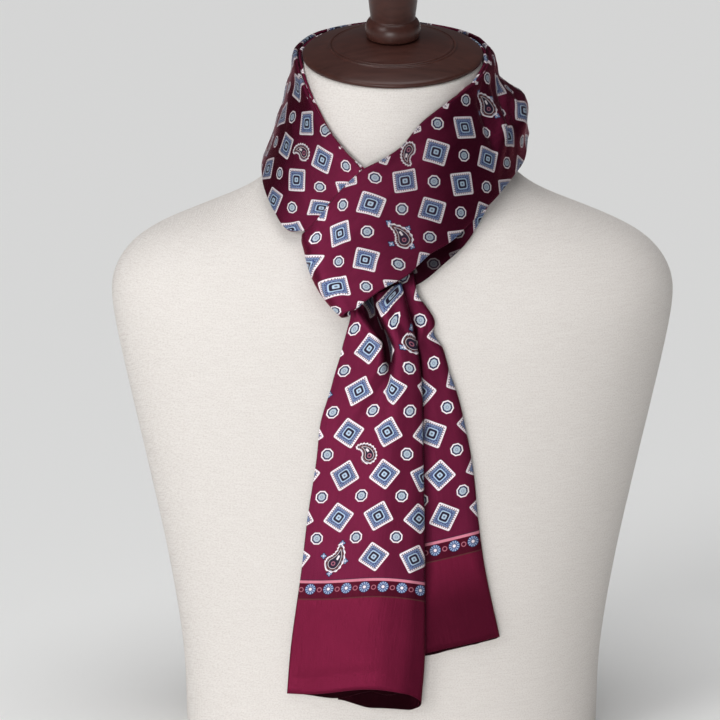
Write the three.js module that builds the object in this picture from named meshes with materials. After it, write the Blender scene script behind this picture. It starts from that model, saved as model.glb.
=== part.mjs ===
// Skinny silk scarf tied in a loop knot round the neck of a linen dress form.
// Millimetres, +Z up. The front faces -Y and +X is to the right as the front is looked at.
// The origin is in the middle of the form's flat underside, on the surface it stands on.
//
// The scarf is a silk tube 160 wide, worn folded in half along its length, with the fold at the
// neck. It is doubled round the neck: on the left both tails come down, and on the right the
// doubled middle comes over them, turns round their left side and goes back behind them, so that
// the tails hang out below the loop.

import * as THREE from 'three';

// ---------------------------------------------------------------- driving dimensions

const PLY = 1.0; // each half of the folded tube, with its two layers of silk
const PLY_GAP = 0.4; // air between the two halves
const SEAM = 0.3; // gap left between neighbouring solids
const END_CUT = 0.2; // drawn back from each end where a strand is divided
const STRAND = 2 * PLY + PLY_GAP; // a whole folded strand
const STACK = STRAND + 2 * SEAM; // from one strand to the strand that lies on it
const SCARF_WIDTH = 160; // of the tube laid flat

const FORM_HEIGHT = 490; // middle of the neck's top
const NECK_RADIUS = 62.5;
const NECK_LEAN = 11; // degrees that the neck's top leans to the front
const FORM_SIDES = 48; // facets round the form
const FORM_STEP = 18; // most height between two levels of its facets
const TURNING_SIDES = 40; // facets round the turned wood

// Level sections of the form: height, half width, depth in front and behind, roundness of the
// outline (2 is an ellipse, more is squarer) and degrees that the section leans with the neck.
const FORM_ROWS = [
  { z: 0, half: 150, front: 97, back: 92, round: 2.3, lean: 0 },
  { z: 60, half: 152, front: 101, back: 93, round: 2.3, lean: 0 },
  { z: 130, half: 162, front: 110, back: 99, round: 2.35, lean: 0 },
  { z: 200, half: 176, front: 117, back: 106, round: 2.4, lean: 0 },
  { z: 260, half: 189, front: 118, back: 110, round: 2.4, lean: 0 },
  { z: 310, half: 199, front: 112, back: 108, round: 2.35, lean: 0 },
  { z: 335, half: 200, front: 104, back: 102, round: 2.3, lean: 0 },
  { z: 350, half: 193, front: 98, back: 98, round: 2.25, lean: 0 },
  { z: 362, half: 181, front: 92, back: 93, round: 2.2, lean: 0 },
  { z: 372, half: 163, front: 87, back: 89, round: 2.15, lean: 0 },
  { z: 382, half: 138, front: 82, back: 85, round: 2.1, lean: 0 },
  { z: 390, half: 117, front: 78.5, back: 82, round: 2.05, lean: 0 },
  { z: 398, half: 101, front: 75.5, back: 79, round: 2, lean: 0 },
  { z: 407, half: 89, front: 73, back: 76, round: 2, lean: 0 },
  { z: 418, half: 80, front: 70, back: 73, round: 2, lean: 1 },
  { z: 434, half: 73, front: 67, back: 70, round: 2, lean: 4 },
  { z: 455, half: 68, front: 64.5, back: 66, round: 2, lean: 8 },
  { z: FORM_HEIGHT, half: NECK_RADIUS, front: NECK_RADIUS, back: NECK_RADIUS, round: 2, lean: NECK_LEAN },
];

// The strand round the neck, from the left of the knot round the back to the right of it. Each row
// is a section: its edge at the neck, its edge at the shoulder, the crown of the cloth between them,
// the size of the lobe that stands off the shoulder, and how many strands lie between it and the form.
const GIRDLE = [
  { neck: [-34, -64, 434.5], out: [-73, -79, 384], crown: 1.5, lobe: 0, layer: 1.3 },
  { neck: [-45, -55, 447], out: [-82, -66, 394], crown: 1, lobe: 0, layer: 1 },
  { neck: [-54, -43.5, 461], out: [-89, -45, 406], crown: 0.5, lobe: 0, layer: 1 },
  { neck: [-63.5, -20, 481], out: [-91, -25, 414.5], crown: -1, lobe: 0, layer: 1 },
  { neck: [-68, 0, 490.5], out: [-91, 3, 416], crown: -2.5, lobe: 0, layer: 1 },
  { neck: [-66, 21, 494.5], out: [-89, 33, 417], crown: -2, lobe: 0, layer: 1 },
  { neck: [-50, 48, 500], out: [-74, 66, 422], crown: 1.5, lobe: 0, layer: 1 },
  { neck: [0, 69.5, 504], out: [0, 89, 426], crown: 3, lobe: 0, layer: 1 },
  { neck: [50, 48, 500], out: [77, 68, 428], crown: 1.5, lobe: 3, layer: 1 },
  { neck: [66, 21, 494.5], out: [95, 32, 432], crown: 0, lobe: 8, layer: 1 },
  { neck: [68, 0, 490.5], out: [94, 0, 431], crown: -1, lobe: 10, layer: 1 },
  { neck: [65, -19, 486], out: [91, -22, 421], crown: -1, lobe: 7, layer: 1 },
  { neck: [57.5, -33.5, 479.6], out: [82, -45, 413], crown: 1, lobe: 3, layer: 1 },
  { neck: [47, -47, 473], out: [70, -65, 402.5], crown: 2, lobe: 1, layer: 1 },
];

// The loop from there over both tails to the left, where it turns round them.
const OVER = [
  { neck: [36, -58, 466], out: [53, -83, 389.5], crown: 3, lobe: 0, layer: 1 },
  { neck: [19, -67, 454], out: [39, -95, 378.5], crown: 4, lobe: 0, layer: 1.5 },
  { neck: [5, -72, 438], out: [24, -103, 371], crown: 5, lobe: 0, layer: 2.2 },
  { neck: [-9, -75, 429], out: [9, -109, 358], crown: 5.5, lobe: 0, layer: 3.1 },
  { neck: [-22, -78, 422.5], out: [-6, -113, 350.5], crown: 6, lobe: 0, layer: 3.4 },
  { neck: [-40, -84, 405.5], out: [-19, -116, 342], crown: 5.5, lobe: 0, layer: 3.6 },
  { neck: [-51.5, -89.5, 391.5], out: [-27, -118, 336], crown: 5, lobe: 0, layer: 3.6 },
];

// The lobe across a strand, in shares of its width: its crest and the dip that sets it off.
const LOBE = { crestAt: 0.66, crestWidth: 0.2, dipAt: 0.3, dipWidth: 0.12, dip: 0.25 };

// The turn round the tails' left side: the line it turns about, its radius at both ends, the way its
// front faces, and the crown of the cloth at each step of the half turn.
const TURN = {
  neck: [-56, -85.5, 382.5],
  out: [-29.5, -113, 333],
  neckRadius: 5.8,
  outRadius: 6.6,
  facing: [-0.25, -1, 0.3],
  crowns: [5, 6, 6.5, 6, 3, 1],
};

// The loop's way back behind the tails, up to where it meets the strand round the neck.
const UNDER = [
  { neck: [-54, -77, 385], out: [-26, -104, 334], crown: 0, lobe: 0, layer: 0.1 },
  { neck: [-34, -71, 408], out: [-4, -101, 341], crown: -5, lobe: 0, layer: 0.1 },
  { neck: [-8, -69, 426], out: [19, -98, 350.5], crown: -8, lobe: 0, layer: 0.05 },
  { neck: [16, -66, 442], out: [33, -93, 361], crown: -6, lobe: 0, layer: 0 },
  { neck: [34, -57, 459], out: [50, -84, 375.5], crown: -3, lobe: 0, layer: 0 },
];

// Both strands from the left of the neck down into the knot, the outer one and the one beneath.
const LEFT_OUTER = [
  { neck: [-22, -73, 422], out: [-56, -86.2, 382.5], crown: 0, lobe: 0, layer: 2.2 },
  { neck: [-12, -81, 403], out: [-47, -96, 365], crown: 0, lobe: 0, layer: 2.5 },
  { neck: [-3, -92, 379], out: [-36, -105, 352], crown: 0, lobe: 0, layer: 2.6 },
  { neck: [4, -101, 358], out: [-29, -109, 343], crown: 0, lobe: 0, layer: 2.6 },
];
const LEFT_INNER = [
  { neck: [-20, -70, 423], out: [-52, -82.8, 384], crown: 0, lobe: 0, layer: 1.1 },
  { neck: [-6, -76, 405], out: [-40, -90, 366], crown: -2, lobe: 0, layer: 1.25 },
  { neck: [8, -84, 384], out: [-24, -98, 354], crown: -1, lobe: 0, layer: 1.35 },
  { neck: [17, -93, 366], out: [-10, -101, 351], crown: 0, lobe: 0, layer: 1.3 },
];

// Sections of the hanging tails, from under the loop down to the hem: both edges in the front view,
// how far what lies behind stands off the form at the left edge and at the right, how far the front
// half stands off the form at both edges, and how deep the pleats are that the loop has pressed in.
const TAIL_FRONT = [
  { left: [-31, 341], right: [5, 352], rest: [4, 7.6], stand: [8, 12.4], pleat: 1 },
  { left: [-29.5, 329], right: [8.5, 341], rest: [4, 7.4], stand: [7, 12.4], pleat: 1 },
  { left: [-34.5, 311], right: [15, 321], rest: [1.5, 5], stand: [5, 12], pleat: 0.8 },
  { left: [-39.5, 293], right: [18, 298], rest: [0.4, 4.3], stand: [4, 10], pleat: 0.4 },
  { left: [-43.5, 278], right: [19.5, 281], rest: [0.4, 4.3], stand: [3, 9], pleat: 0.15 },
  { left: [-50, 256], right: [20, 257], rest: [0.4, 4.3], stand: [2.5, 8], pleat: 0 },
  { left: [-53, 229], right: [20.5, 229], rest: [0.4, 4.3], stand: [2.5, 8], pleat: 0 },
  { left: [-59.5, 185], right: [21.5, 185], rest: [0.4, 4.3], stand: [2.5, 8], pleat: 0 },
  { left: [-63.5, 149], right: [22, 149], rest: [0.4, 4.3], stand: [2.5, 8], pleat: 0 },
  { left: [-71.5, 88], right: [22.5, 88], rest: [0.4, 4.3], stand: [2.5, 8.5], pleat: 0 },
  { left: [-74.5, 51], right: [20, 53], rest: [0.4, 4.3], stand: [2.5, 9], pleat: 0 },
];
const TAIL_BACK = [
  { left: [-8, 349], right: [18, 358], rest: [4, 4], stand: [5.9, 6.2], pleat: 0 },
  { left: [-4, 331], right: [19, 343], rest: [4, 4], stand: [5.9, 6.2], pleat: 0 },
  { left: [-3, 312], right: [27, 326], rest: [0.6, 0.6], stand: [2.5, 3.6], pleat: 0 },
  { left: [-4, 292], right: [34, 307], rest: [0.4, 0.4], stand: [2.3, 3.2], pleat: 0 },
  { left: [-13, 262], right: [43, 277], rest: [0.4, 0.4], stand: [2.3, 3.2], pleat: 0 },
  { left: [-17, 235], right: [50, 250], rest: [0.4, 0.4], stand: [2.3, 3.2], pleat: 0 },
  { left: [-18.5, 205], right: [55, 222], rest: [0.4, 0.4], stand: [2.3, 3.2], pleat: 0 },
  { left: [-18, 166], right: [59, 184], rest: [0.4, 0.4], stand: [2.3, 3.2], pleat: 0 },
  { left: [-14, 131], right: [64, 149], rest: [0.4, 0.4], stand: [2.3, 3.2], pleat: 0 },
  { left: [-4, 80], right: [75, 96.5], rest: [0.4, 0.4], stand: [2.3, 3.2], pleat: 0 },
];

// Pleats that the loop presses into a tail, in shares of its width, with their heights.
const PLEATS = { ridgeAt: 0.8, ridgeWidth: 0.12, ridge: 2, troughAt: 0.46, troughWidth: 0.13, trough: 5 };
const PLEAT_END = 0.08; // share of the width over which they die away at the fold
const TAIL_SWELL = 0.8; // share of the width over which the tail rises from its flat edge to its fold
const LIFTED = { from: 0.15, to: 0.4 }; // where across the front tail the back tail comes beneath it
const BACK_SHARE = 0.92; // most of the tail's width that its back half may cover
const DROP_FROM = 0.6; // share of the length below which the back half hangs lower

// How finely the cloth is faceted: steps between two rows, and steps across each half.
const CUTS = 2;
const STRAND_ACROSS = 6;
const TAIL_ACROSS = 9;
const TAIL_BACK_ACROSS = 5;
const STRAND_FOLD = [60, 120]; // degrees round a strand's fold at which it has points
const TAIL_FOLD = [36, 72, 108, 144]; // the same round a tail's fold

// Points are lifted off the form in small passes, each along the form's slope taken over a short step.
const LIFT_PASSES = 5;
const LIFT_STEP = 0.5;
const CLOSE_ENOUGH = 0.01;
const LEAN_PASSES = 3; // taken to find the leaning section that a point lies in

// Turned neck cap: radius and height over the neck, from the middle of its underside outwards.
const CAP_PROFILE = [
  [0, 0], [62, 0], [63.5, 1.5], [63.2, 3.2], [61, 4.2], [44.5, 9], [43.4, 9.2], [42.8, 9.8], [41.6, 10.2],
  [30, 13.2], [19, 15.4], [0, 15.4],
];
// Turned knob on it: a bead, a neck that opens upwards and a plain domed end.
const KNOB_PROFILE = [
  [0, 0], [17, 0], [18.6, 1.4], [19.4, 4], [19.4, 7], [18.4, 10.5], [16.4, 13], [15.6, 13.6], [15.8, 14.6],
  [16.4, 20], [18, 34], [19.6, 50], [19.4, 54], [17, 58.5], [12, 61.8], [6, 63.2], [0, 63.6],
];

// ---------------------------------------------------------------- materials and small tools

const SILK = new THREE.MeshStandardMaterial({ color: 0x6e1f38, roughness: 0.45, metalness: 0 });
const LINEN = new THREE.MeshStandardMaterial({ color: 0xe1dad4, roughness: 0.9, metalness: 0 });
const WOOD = new THREE.MeshStandardMaterial({ color: 0x462d28, roughness: 0.4, metalness: 0 });

const group = new THREE.Group();

function addNode(name, geometry, material) {
  const mesh = new THREE.Mesh(geometry, material);
  mesh.name = name;
  group.add(mesh);
  return mesh;
}

function vector([x, y, z]) {
  return new THREE.Vector3(x, y, z);
}

/** A soft hill of height 1 at `middle`, that has died away about two widths from it. */
function hill(at, middle, width) {
  return Math.exp(-(((at - middle) / width) ** 2));
}

/** Value of one column of a table at a height, on a smooth curve through its rows. */
function readColumn(rows, column, z) {
  const last = rows.length - 1;
  const at = THREE.MathUtils.clamp(z, rows[0].z, rows[last].z);
  let i = 0;
  while (i < last - 1 && rows[i + 1].z < at) i += 1;
  const slope = (k) => {
    const below = rows[Math.max(k - 1, 0)];
    const above = rows[Math.min(k + 1, last)];
    return (above[column] - below[column]) / (above.z - below.z);
  };
  const span = rows[i + 1].z - rows[i].z;
  const t = (at - rows[i].z) / span;
  const rise = 3 * t * t - 2 * t * t * t;
  return (
    rows[i][column] * (1 - rise) +
    rows[i + 1][column] * rise +
    span * slope(i) * (t * t * t - 2 * t * t + t) +
    span * slope(i + 1) * (t * t * t - t * t)
  );
}

/** The form's section at a height. */
function formSection(z) {
  const read = (column) => readColumn(FORM_ROWS, column, z);
  const lean = Math.tan(THREE.MathUtils.degToRad(read('lean')));
  return { half: read('half'), front: read('front'), back: read('back'), round: read('round'), lean };
}

/** Grows with the distance from the form: 0 on its surface, below 0 inside. */
function outside(x, y, z) {
  let section = formSection(z);
  for (let pass = 0; pass < LEAN_PASSES; pass += 1) section = formSection(z - y * section.lean);
  const deep = y < 0 ? section.front : section.back;
  const across = (Math.abs(x) / section.half) ** section.round;
  const along = (Math.abs(y) / deep) ** section.round;
  return (across + along) ** (1 / section.round) - 1;
}

/** Moves a point straight away from the form until it is at least `least` off it. */
function liftOff(point, least) {
  const h = LIFT_STEP;
  for (let pass = 0; pass < LIFT_PASSES; pass += 1) {
    const { x, y, z } = point;
    const slope = new THREE.Vector3(
      outside(x + h, y, z) - outside(x - h, y, z),
      outside(x, y + h, z) - outside(x, y - h, z),
      outside(x, y, z + h) - outside(x, y, z - h),
    ).divideScalar(2 * h);
    const distance = outside(x, y, z) / slope.length();
    if (distance > least - CLOSE_ENOUGH) break;
    point.addScaledVector(slope.normalize(), least - distance);
  }
  return point;
}

/** Closed wall of a thickness round a grid of points; grid[i][j] runs i along and j across. */
function wall(grid, thickness) {
  const rows = grid.length;
  const columns = grid[0].length;
  const faces = [[], []];
  grid.forEach((row, i) => {
    row.forEach((point, j) => {
      const along = grid[Math.min(i + 1, rows - 1)][j].clone().sub(grid[Math.max(i - 1, 0)][j]);
      const across = row[Math.min(j + 1, columns - 1)].clone().sub(row[Math.max(j - 1, 0)]);
      const normal = along.cross(across).normalize();
      faces[0].push(point.clone().addScaledVector(normal, thickness / 2));
      faces[1].push(point.clone().addScaledVector(normal, -thickness / 2));
    });
  });
  const points = [...faces[0], ...faces[1]];
  const back = rows * columns;
  const index = [];
  const quad = (a, b, c, d) => index.push(a, b, c, a, c, d);
  for (let i = 0; i < rows - 1; i += 1) {
    for (let j = 0; j < columns - 1; j += 1) {
      const a = i * columns + j;
      quad(a, a + columns, a + columns + 1, a + 1);
      quad(back + a, back + a + 1, back + a + columns + 1, back + a + columns);
    }
    const left = i * columns;
    const right = left + columns - 1;
    quad(left, back + left, back + left + columns, left + columns);
    quad(right, right + columns, back + right + columns, back + right);
  }
  const end = (rows - 1) * columns;
  for (let j = 0; j < columns - 1; j += 1) {
    quad(j, j + 1, back + j + 1, back + j);
    quad(end + j, back + end + j, back + end + j + 1, end + j + 1);
  }
  const geometry = new THREE.BufferGeometry().setFromPoints(points);
  geometry.setIndex(index);
  geometry.computeVertexNormals();
  return geometry;
}

/** The rows from `first` to `last` of a grid, drawn back half a seam at the ends that meet others. */
function stretch(grid, first, last) {
  const rows = grid.slice(first, last + 1).map((row) => row.map((point) => point.clone()));
  const drawBack = (row, next) => row.forEach((point, j) => {
    point.addScaledVector(new THREE.Vector3().subVectors(next[j], point).normalize(), END_CUT);
  });
  if (first > 0) drawBack(rows[0], rows[1]);
  if (last < grid.length - 1) drawBack(rows[rows.length - 1], rows[rows.length - 2]);
  return rows;
}

// ---------------------------------------------------------------- strands round the neck

/** Sections between the rows of a strand, with the direction that faces away from the neck. */
function strandSections(rows, cuts, facing) {
  const count = (rows.length - 1) * cuts;
  const curve = (read) => new THREE.CatmullRomCurve3(rows.map((row) => vector(read(row))));
  const neck = curve((row) => row.neck);
  const out = curve((row) => row.out);
  const shape = curve((row) => [row.crown, row.lobe, row.layer]);
  const sections = Array.from({ length: count + 1 }, (_, i) => {
    const [crown, lobe, layer] = shape.getPoint(i / count).toArray();
    return { neck: neck.getPoint(i / count), out: out.getPoint(i / count), crown, lobe, layer };
  });
  sections.forEach((section, i) => {
    const before = sections[Math.max(i - 1, 0)];
    const after = sections[Math.min(i + 1, count)];
    const travel = new THREE.Vector3().addVectors(after.neck, after.out).sub(before.neck).sub(before.out);
    section.across = new THREE.Vector3().subVectors(section.out, section.neck);
    section.away = travel.cross(section.across).normalize().multiplyScalar(facing);
  });
  return sections;
}

/** Points of a strand folded at the neck: front half up to the fold, round it, back half down. */
function strandGrid(sections) {
  const halfGap = (PLY + PLY_GAP) / 2;
  return sections.map((section) => {
    const { neck, across, away, crown, lobe, layer } = section;
    const lift = 2 * SEAM + layer * STACK;
    const halves = [[], []];
    for (let j = 0; j <= STRAND_ACROSS; j += 1) {
      const s = j / STRAND_ACROSS;
      const crest = hill(s, LOBE.crestAt, LOBE.crestWidth) - LOBE.dip * hill(s, LOBE.dipAt, LOBE.dipWidth);
      const rise = crown * 4 * s * (1 - s) + lobe * crest;
      const middle = neck.clone().addScaledVector(across, s).addScaledVector(away, rise);
      liftOff(middle, lift + STRAND / 2);
      halves[0].push(middle.clone().addScaledVector(away, halfGap));
      halves[1].push(middle.clone().addScaledVector(away, -halfGap));
    }
    const upward = across.clone().normalize().negate();
    const middle = halves[0][0].clone().add(halves[1][0]).multiplyScalar(0.5);
    const fold = STRAND_FOLD.map((degrees) => {
      const turn = THREE.MathUtils.degToRad(degrees);
      return middle
        .clone()
        .addScaledVector(away, halfGap * Math.cos(turn))
        .addScaledVector(upward, halfGap * Math.sin(turn));
    });
    return [...halves[0].reverse(), ...fold, ...halves[1]];
  });
}

/** Rows of the half turn that takes the loop round the tails. */
function turnRows({ neck, out, neckRadius, outRadius, facing, crowns }) {
  const steps = crowns.length - 1;
  const axis = new THREE.Vector3().subVectors(vector(out), vector(neck)).normalize();
  const toFront = vector(facing).projectOnPlane(axis).normalize();
  const toLeft = new THREE.Vector3().crossVectors(axis, toFront).normalize();
  if (toLeft.x > 0) toLeft.negate();
  return crowns.map((crown, i) => {
    const turn = (Math.PI * i) / steps;
    const reach = (radius) => new THREE.Vector3()
      .addScaledVector(toFront, radius * Math.cos(turn))
      .addScaledVector(toLeft, radius * Math.sin(turn));
    return {
      neck: vector(neck).add(reach(neckRadius)).toArray(),
      out: vector(out).add(reach(outRadius)).toArray(),
      crown,
      lobe: 0,
      layer: i < steps / 2 ? 1 : 0,
    };
  });
}

/** The same rows moved in towards the neck by one strand, for the one that lies beneath. */
function movedIn(rows) {
  return strandSections(rows, 1, 1).map(({ neck, out, away, crown, lobe, layer }) => ({
    neck: neck.addScaledVector(away, -STACK).toArray(),
    out: out.addScaledVector(away, -STACK).toArray(),
    crown,
    lobe,
    layer: layer - 1,
  }));
}

// ---------------------------------------------------------------- hanging tails

/** The point in front of the form that stands `lift` off it. */
function inFront(x, z, lift) {
  const section = formSection(z);
  const across = (Math.abs(x) / (section.half + lift)) ** section.round;
  return new THREE.Vector3(x, -(section.front + lift) * (1 - across) ** (1 / section.round), z);
}

/** Points of a tail folded at its right edge: front half from the left, round the fold, back half. */
function tailGrid(rows, { frontWidth, drop }) {
  const count = (rows.length - 1) * CUTS;
  const curve = (read) => new THREE.CatmullRomCurve3(rows.map((row) => vector(read(row))));
  const left = curve((row) => [row.left[0], row.left[1], row.rest[0]]);
  const right = curve((row) => [row.right[0], row.right[1], row.rest[1]]);
  const shape = curve((row) => [row.stand[0], row.stand[1], row.pleat]);
  return Array.from({ length: count + 1 }, (_, i) => {
    const a = left.getPoint(i / count);
    const b = right.getPoint(i / count);
    const [standLeft, standRight, pleat] = shape.getPoint(i / count).toArray();
    const backRight = b.z + PLY / 2;
    const radius = (standRight - backRight) / 2;
    const width = Math.hypot(b.x - a.x, b.y - a.y);
    const front = [];
    for (let j = 0; j <= TAIL_ACROSS; j += 1) {
      const s = j / TAIL_ACROSS;
      const reach = s * (1 - radius / width);
      const swell = THREE.MathUtils.smoothstep(s, 0, TAIL_SWELL);
      const ridge = PLEATS.ridge * hill(s, PLEATS.ridgeAt, PLEATS.ridgeWidth);
      const trough = PLEATS.trough * hill(s, PLEATS.troughAt, PLEATS.troughWidth);
      const pleats = pleat * (ridge - trough) * (1 - hill(s, 1, PLEAT_END));
      const stand = THREE.MathUtils.lerp(standLeft, standRight, swell) + pleats;
      front.push(inFront(a.x + (b.x - a.x) * reach, a.y + (b.y - a.y) * reach, stand));
    }
    const foldFrom = 1 - radius / width;
    const fold = TAIL_FOLD.map((degrees) => {
      const turn = THREE.MathUtils.degToRad(degrees);
      const reach = foldFrom + (radius / width) * Math.sin(turn);
      const stand = (standRight + backRight) / 2 + radius * Math.cos(turn);
      return inFront(a.x + (b.x - a.x) * reach, a.y + (b.y - a.y) * reach, stand);
    });
    const backWidth = Math.min(SCARF_WIDTH - frontWidth - Math.PI * radius, width * BACK_SHARE);
    const lower = drop * THREE.MathUtils.smoothstep(i / count, DROP_FROM, 1);
    const back = [];
    for (let j = 0; j <= TAIL_BACK_ACROSS; j += 1) {
      const reach = foldFrom - (backWidth / width) * (j / TAIL_BACK_ACROSS);
      const rest = THREE.MathUtils.lerp(a.z, b.z, THREE.MathUtils.smoothstep(reach, LIFTED.from, LIFTED.to));
      back.push(inFront(a.x + (b.x - a.x) * reach, a.y + (b.y - a.y) * reach - lower, rest + PLY / 2));
    }
    return [...front, ...fold, ...back];
  });
}

// ---------------------------------------------------------------- the scarf

const outerRows = [...LEFT_OUTER].reverse().concat(GIRDLE, OVER, turnRows(TURN));
const outerGrid = strandGrid(strandSections(outerRows, CUTS, 1));
const innerRows = UNDER.concat(movedIn(GIRDLE).reverse(), LEFT_INNER);
const innerGrid = strandGrid(strandSections(innerRows, CUTS, -1));

// Where the outer strand is divided, in rows of its table: the left of the neck, the back, the loop.
const OUTER_BACK = (LEFT_OUTER.length + 5) * CUTS;
const OUTER_LOOP = (LEFT_OUTER.length + 9) * CUTS;
addNode('strand_left_outer', wall(stretch(outerGrid, 0, OUTER_BACK), PLY), SILK);
addNode('strand_back_outer', wall(stretch(outerGrid, OUTER_BACK, OUTER_LOOP), PLY), SILK);
addNode('loop_over', wall(stretch(outerGrid, OUTER_LOOP, outerGrid.length - 1), PLY), SILK);

const INNER_BACK = (UNDER.length + 4) * CUTS;
const INNER_LEFT = (UNDER.length + 8) * CUTS;
addNode('loop_under', wall(stretch(innerGrid, 0, INNER_BACK), PLY), SILK);
addNode('strand_back_inner', wall(stretch(innerGrid, INNER_BACK, INNER_LEFT), PLY), SILK);
addNode('strand_left_inner', wall(stretch(innerGrid, INNER_LEFT, innerGrid.length - 1), PLY), SILK);

addNode('tail_front', wall(tailGrid(TAIL_FRONT, { frontWidth: 88, drop: 9 }), PLY), SILK);
addNode('tail_back', wall(tailGrid(TAIL_BACK, { frontWidth: 80, drop: 0 }), PLY), SILK);

// ---------------------------------------------------------------- the dress form

/** The form: level sections joined by facets, closed flat below and by the neck's plane above. */
function formGeometry() {
  const levels = [];
  for (let i = 0; i < FORM_ROWS.length - 1; i += 1) {
    const from = FORM_ROWS[i].z;
    const to = FORM_ROWS[i + 1].z;
    const cuts = Math.ceil((to - from) / FORM_STEP);
    for (let k = 0; k < cuts; k += 1) levels.push(from + ((to - from) * k) / cuts);
  }
  levels.push(FORM_HEIGHT);
  const points = [];
  const index = [];
  levels.forEach((z) => {
    const { half, front, back, round, lean } = formSection(z);
    for (let k = 0; k < FORM_SIDES; k += 1) {
      const turn = (2 * Math.PI * k) / FORM_SIDES;
      const c = Math.cos(turn);
      const s = Math.sin(turn);
      const x = half * Math.sign(c) * Math.abs(c) ** (2 / round);
      const y = (s < 0 ? front : back) * Math.sign(s) * Math.abs(s) ** (2 / round);
      points.push(new THREE.Vector3(x, y, z + y * lean));
    }
  });
  for (let i = 0; i < levels.length - 1; i += 1) {
    for (let k = 0; k < FORM_SIDES; k += 1) {
      const next = (k + 1) % FORM_SIDES;
      const a = i * FORM_SIDES + k;
      const b = i * FORM_SIDES + next;
      index.push(a, b, b + FORM_SIDES, a, b + FORM_SIDES, a + FORM_SIDES);
    }
  }
  const top = (levels.length - 1) * FORM_SIDES;
  for (let k = 1; k < FORM_SIDES - 1; k += 1) {
    index.push(0, k + 1, k);
    index.push(top, top + k, top + k + 1);
  }
  const geometry = new THREE.BufferGeometry().setFromPoints(points);
  geometry.setIndex(index);
  geometry.computeVertexNormals();
  return geometry;
}

/** A piece turned on the lathe, standing on the neck's leaning top at a height over it. */
function turned(name, profile, height) {
  const geometry = new THREE.LatheGeometry(profile.map(([r, z]) => new THREE.Vector2(r, z)), TURNING_SIDES);
  geometry.rotateX(Math.PI / 2);
  const piece = addNode(name, geometry, WOOD);
  const lean = THREE.MathUtils.degToRad(NECK_LEAN);
  piece.rotation.x = lean;
  piece.position.set(0, -Math.sin(lean) * height, FORM_HEIGHT + Math.cos(lean) * height);
}

addNode('dress_form', formGeometry(), LINEN);
turned('neck_cap', CAP_PROFILE, SEAM);
turned('neck_knob', KNOB_PROFILE, SEAM + CAP_PROFILE[CAP_PROFILE.length - 1][1] + SEAM);

export default group;
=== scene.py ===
"""Skinny silk scarf tied in a loop knot round the neck of a linen dress form: its looks.

The scarf is a tube of printed silk twill, 160 mm wide laid flat, that is worn folded in half along
its length. The tables are in millimetres on the part's own axes, +Z up and the front facing -Y.
"""

import functools
import math

import bpy
import numpy as np
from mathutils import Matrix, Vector


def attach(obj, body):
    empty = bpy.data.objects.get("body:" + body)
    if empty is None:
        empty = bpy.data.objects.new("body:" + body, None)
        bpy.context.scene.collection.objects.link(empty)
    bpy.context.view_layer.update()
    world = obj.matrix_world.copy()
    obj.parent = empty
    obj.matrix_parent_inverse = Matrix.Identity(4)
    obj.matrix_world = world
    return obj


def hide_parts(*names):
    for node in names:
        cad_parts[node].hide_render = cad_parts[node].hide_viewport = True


MM = 0.001

# ---------------------------------------------------------------- sizes of the scarf

SCARF_WIDTH = 160  # of the tube laid flat
PLY = 0.9  # each half of the folded tube, with its two layers of silk
HALF_GAP = 0.7  # from the middle of a strand to the middle of each half
SEAM = 0.3  # gap that pieces keep where they touch
STRAND = 2.4  # a strand's thickness
STACK = 3.0  # from one strand to the strand that lies on it
SILK_THICKNESS = 0.32  # one layer, where the tails' layers come apart
CLOSING = 0.6  # silk taken by the seam that closes the tube
ROLL = 1.2  # how far the outer strand's fold swells out at the neck
INNER_ROLL = 0.15
ROLL_WIDTH = 0.07  # in shares of the strand's width
ROLL_OFF = 0.6  # of that width, from the fold to the middle of the roll

STEPS = 10  # along, between two rows of a table
ACROSS = 30  # across each half of a strand
FOLD_STEPS = 9  # round a strand's fold
RIM_STEPS = 3  # round the edges of its wall
TAIL_FRONT_STEPS = 84  # across a tail's front half, round its fold and across its back half
TAIL_FOLD_STEPS = 14
TAIL_BACK_STEPS = 30

# How points are moved off the form.
LIFT_PASSES = 5
LIFT_STEP = 0.5
CLOSE_ENOUGH = 0.01
LEAN_PASSES = 3  # taken to find the leaning section that a point lies in

# Level sections of the form: height, half width, depth in front and behind, roundness, lean.
FORM_ROWS = np.array([
    (0, 150, 97, 92, 2.3, 0),
    (60, 152, 101, 93, 2.3, 0),
    (130, 162, 110, 99, 2.35, 0),
    (200, 176, 117, 106, 2.4, 0),
    (260, 189, 118, 110, 2.4, 0),
    (310, 199, 112, 108, 2.35, 0),
    (335, 200, 104, 102, 2.3, 0),
    (350, 193, 98, 98, 2.25, 0),
    (362, 181, 92, 93, 2.2, 0),
    (372, 163, 87, 89, 2.15, 0),
    (382, 138, 82, 85, 2.1, 0),
    (390, 117, 78.5, 82, 2.05, 0),
    (398, 101, 75.5, 79, 2, 0),
    (407, 89, 73, 76, 2, 0),
    (418, 80, 70, 73, 2, 1),
    (434, 73, 67, 70, 2, 4),
    (455, 68, 64.5, 66, 2, 8),
    (490, 62.5, 62.5, 62.5, 2, 11),
])

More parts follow.
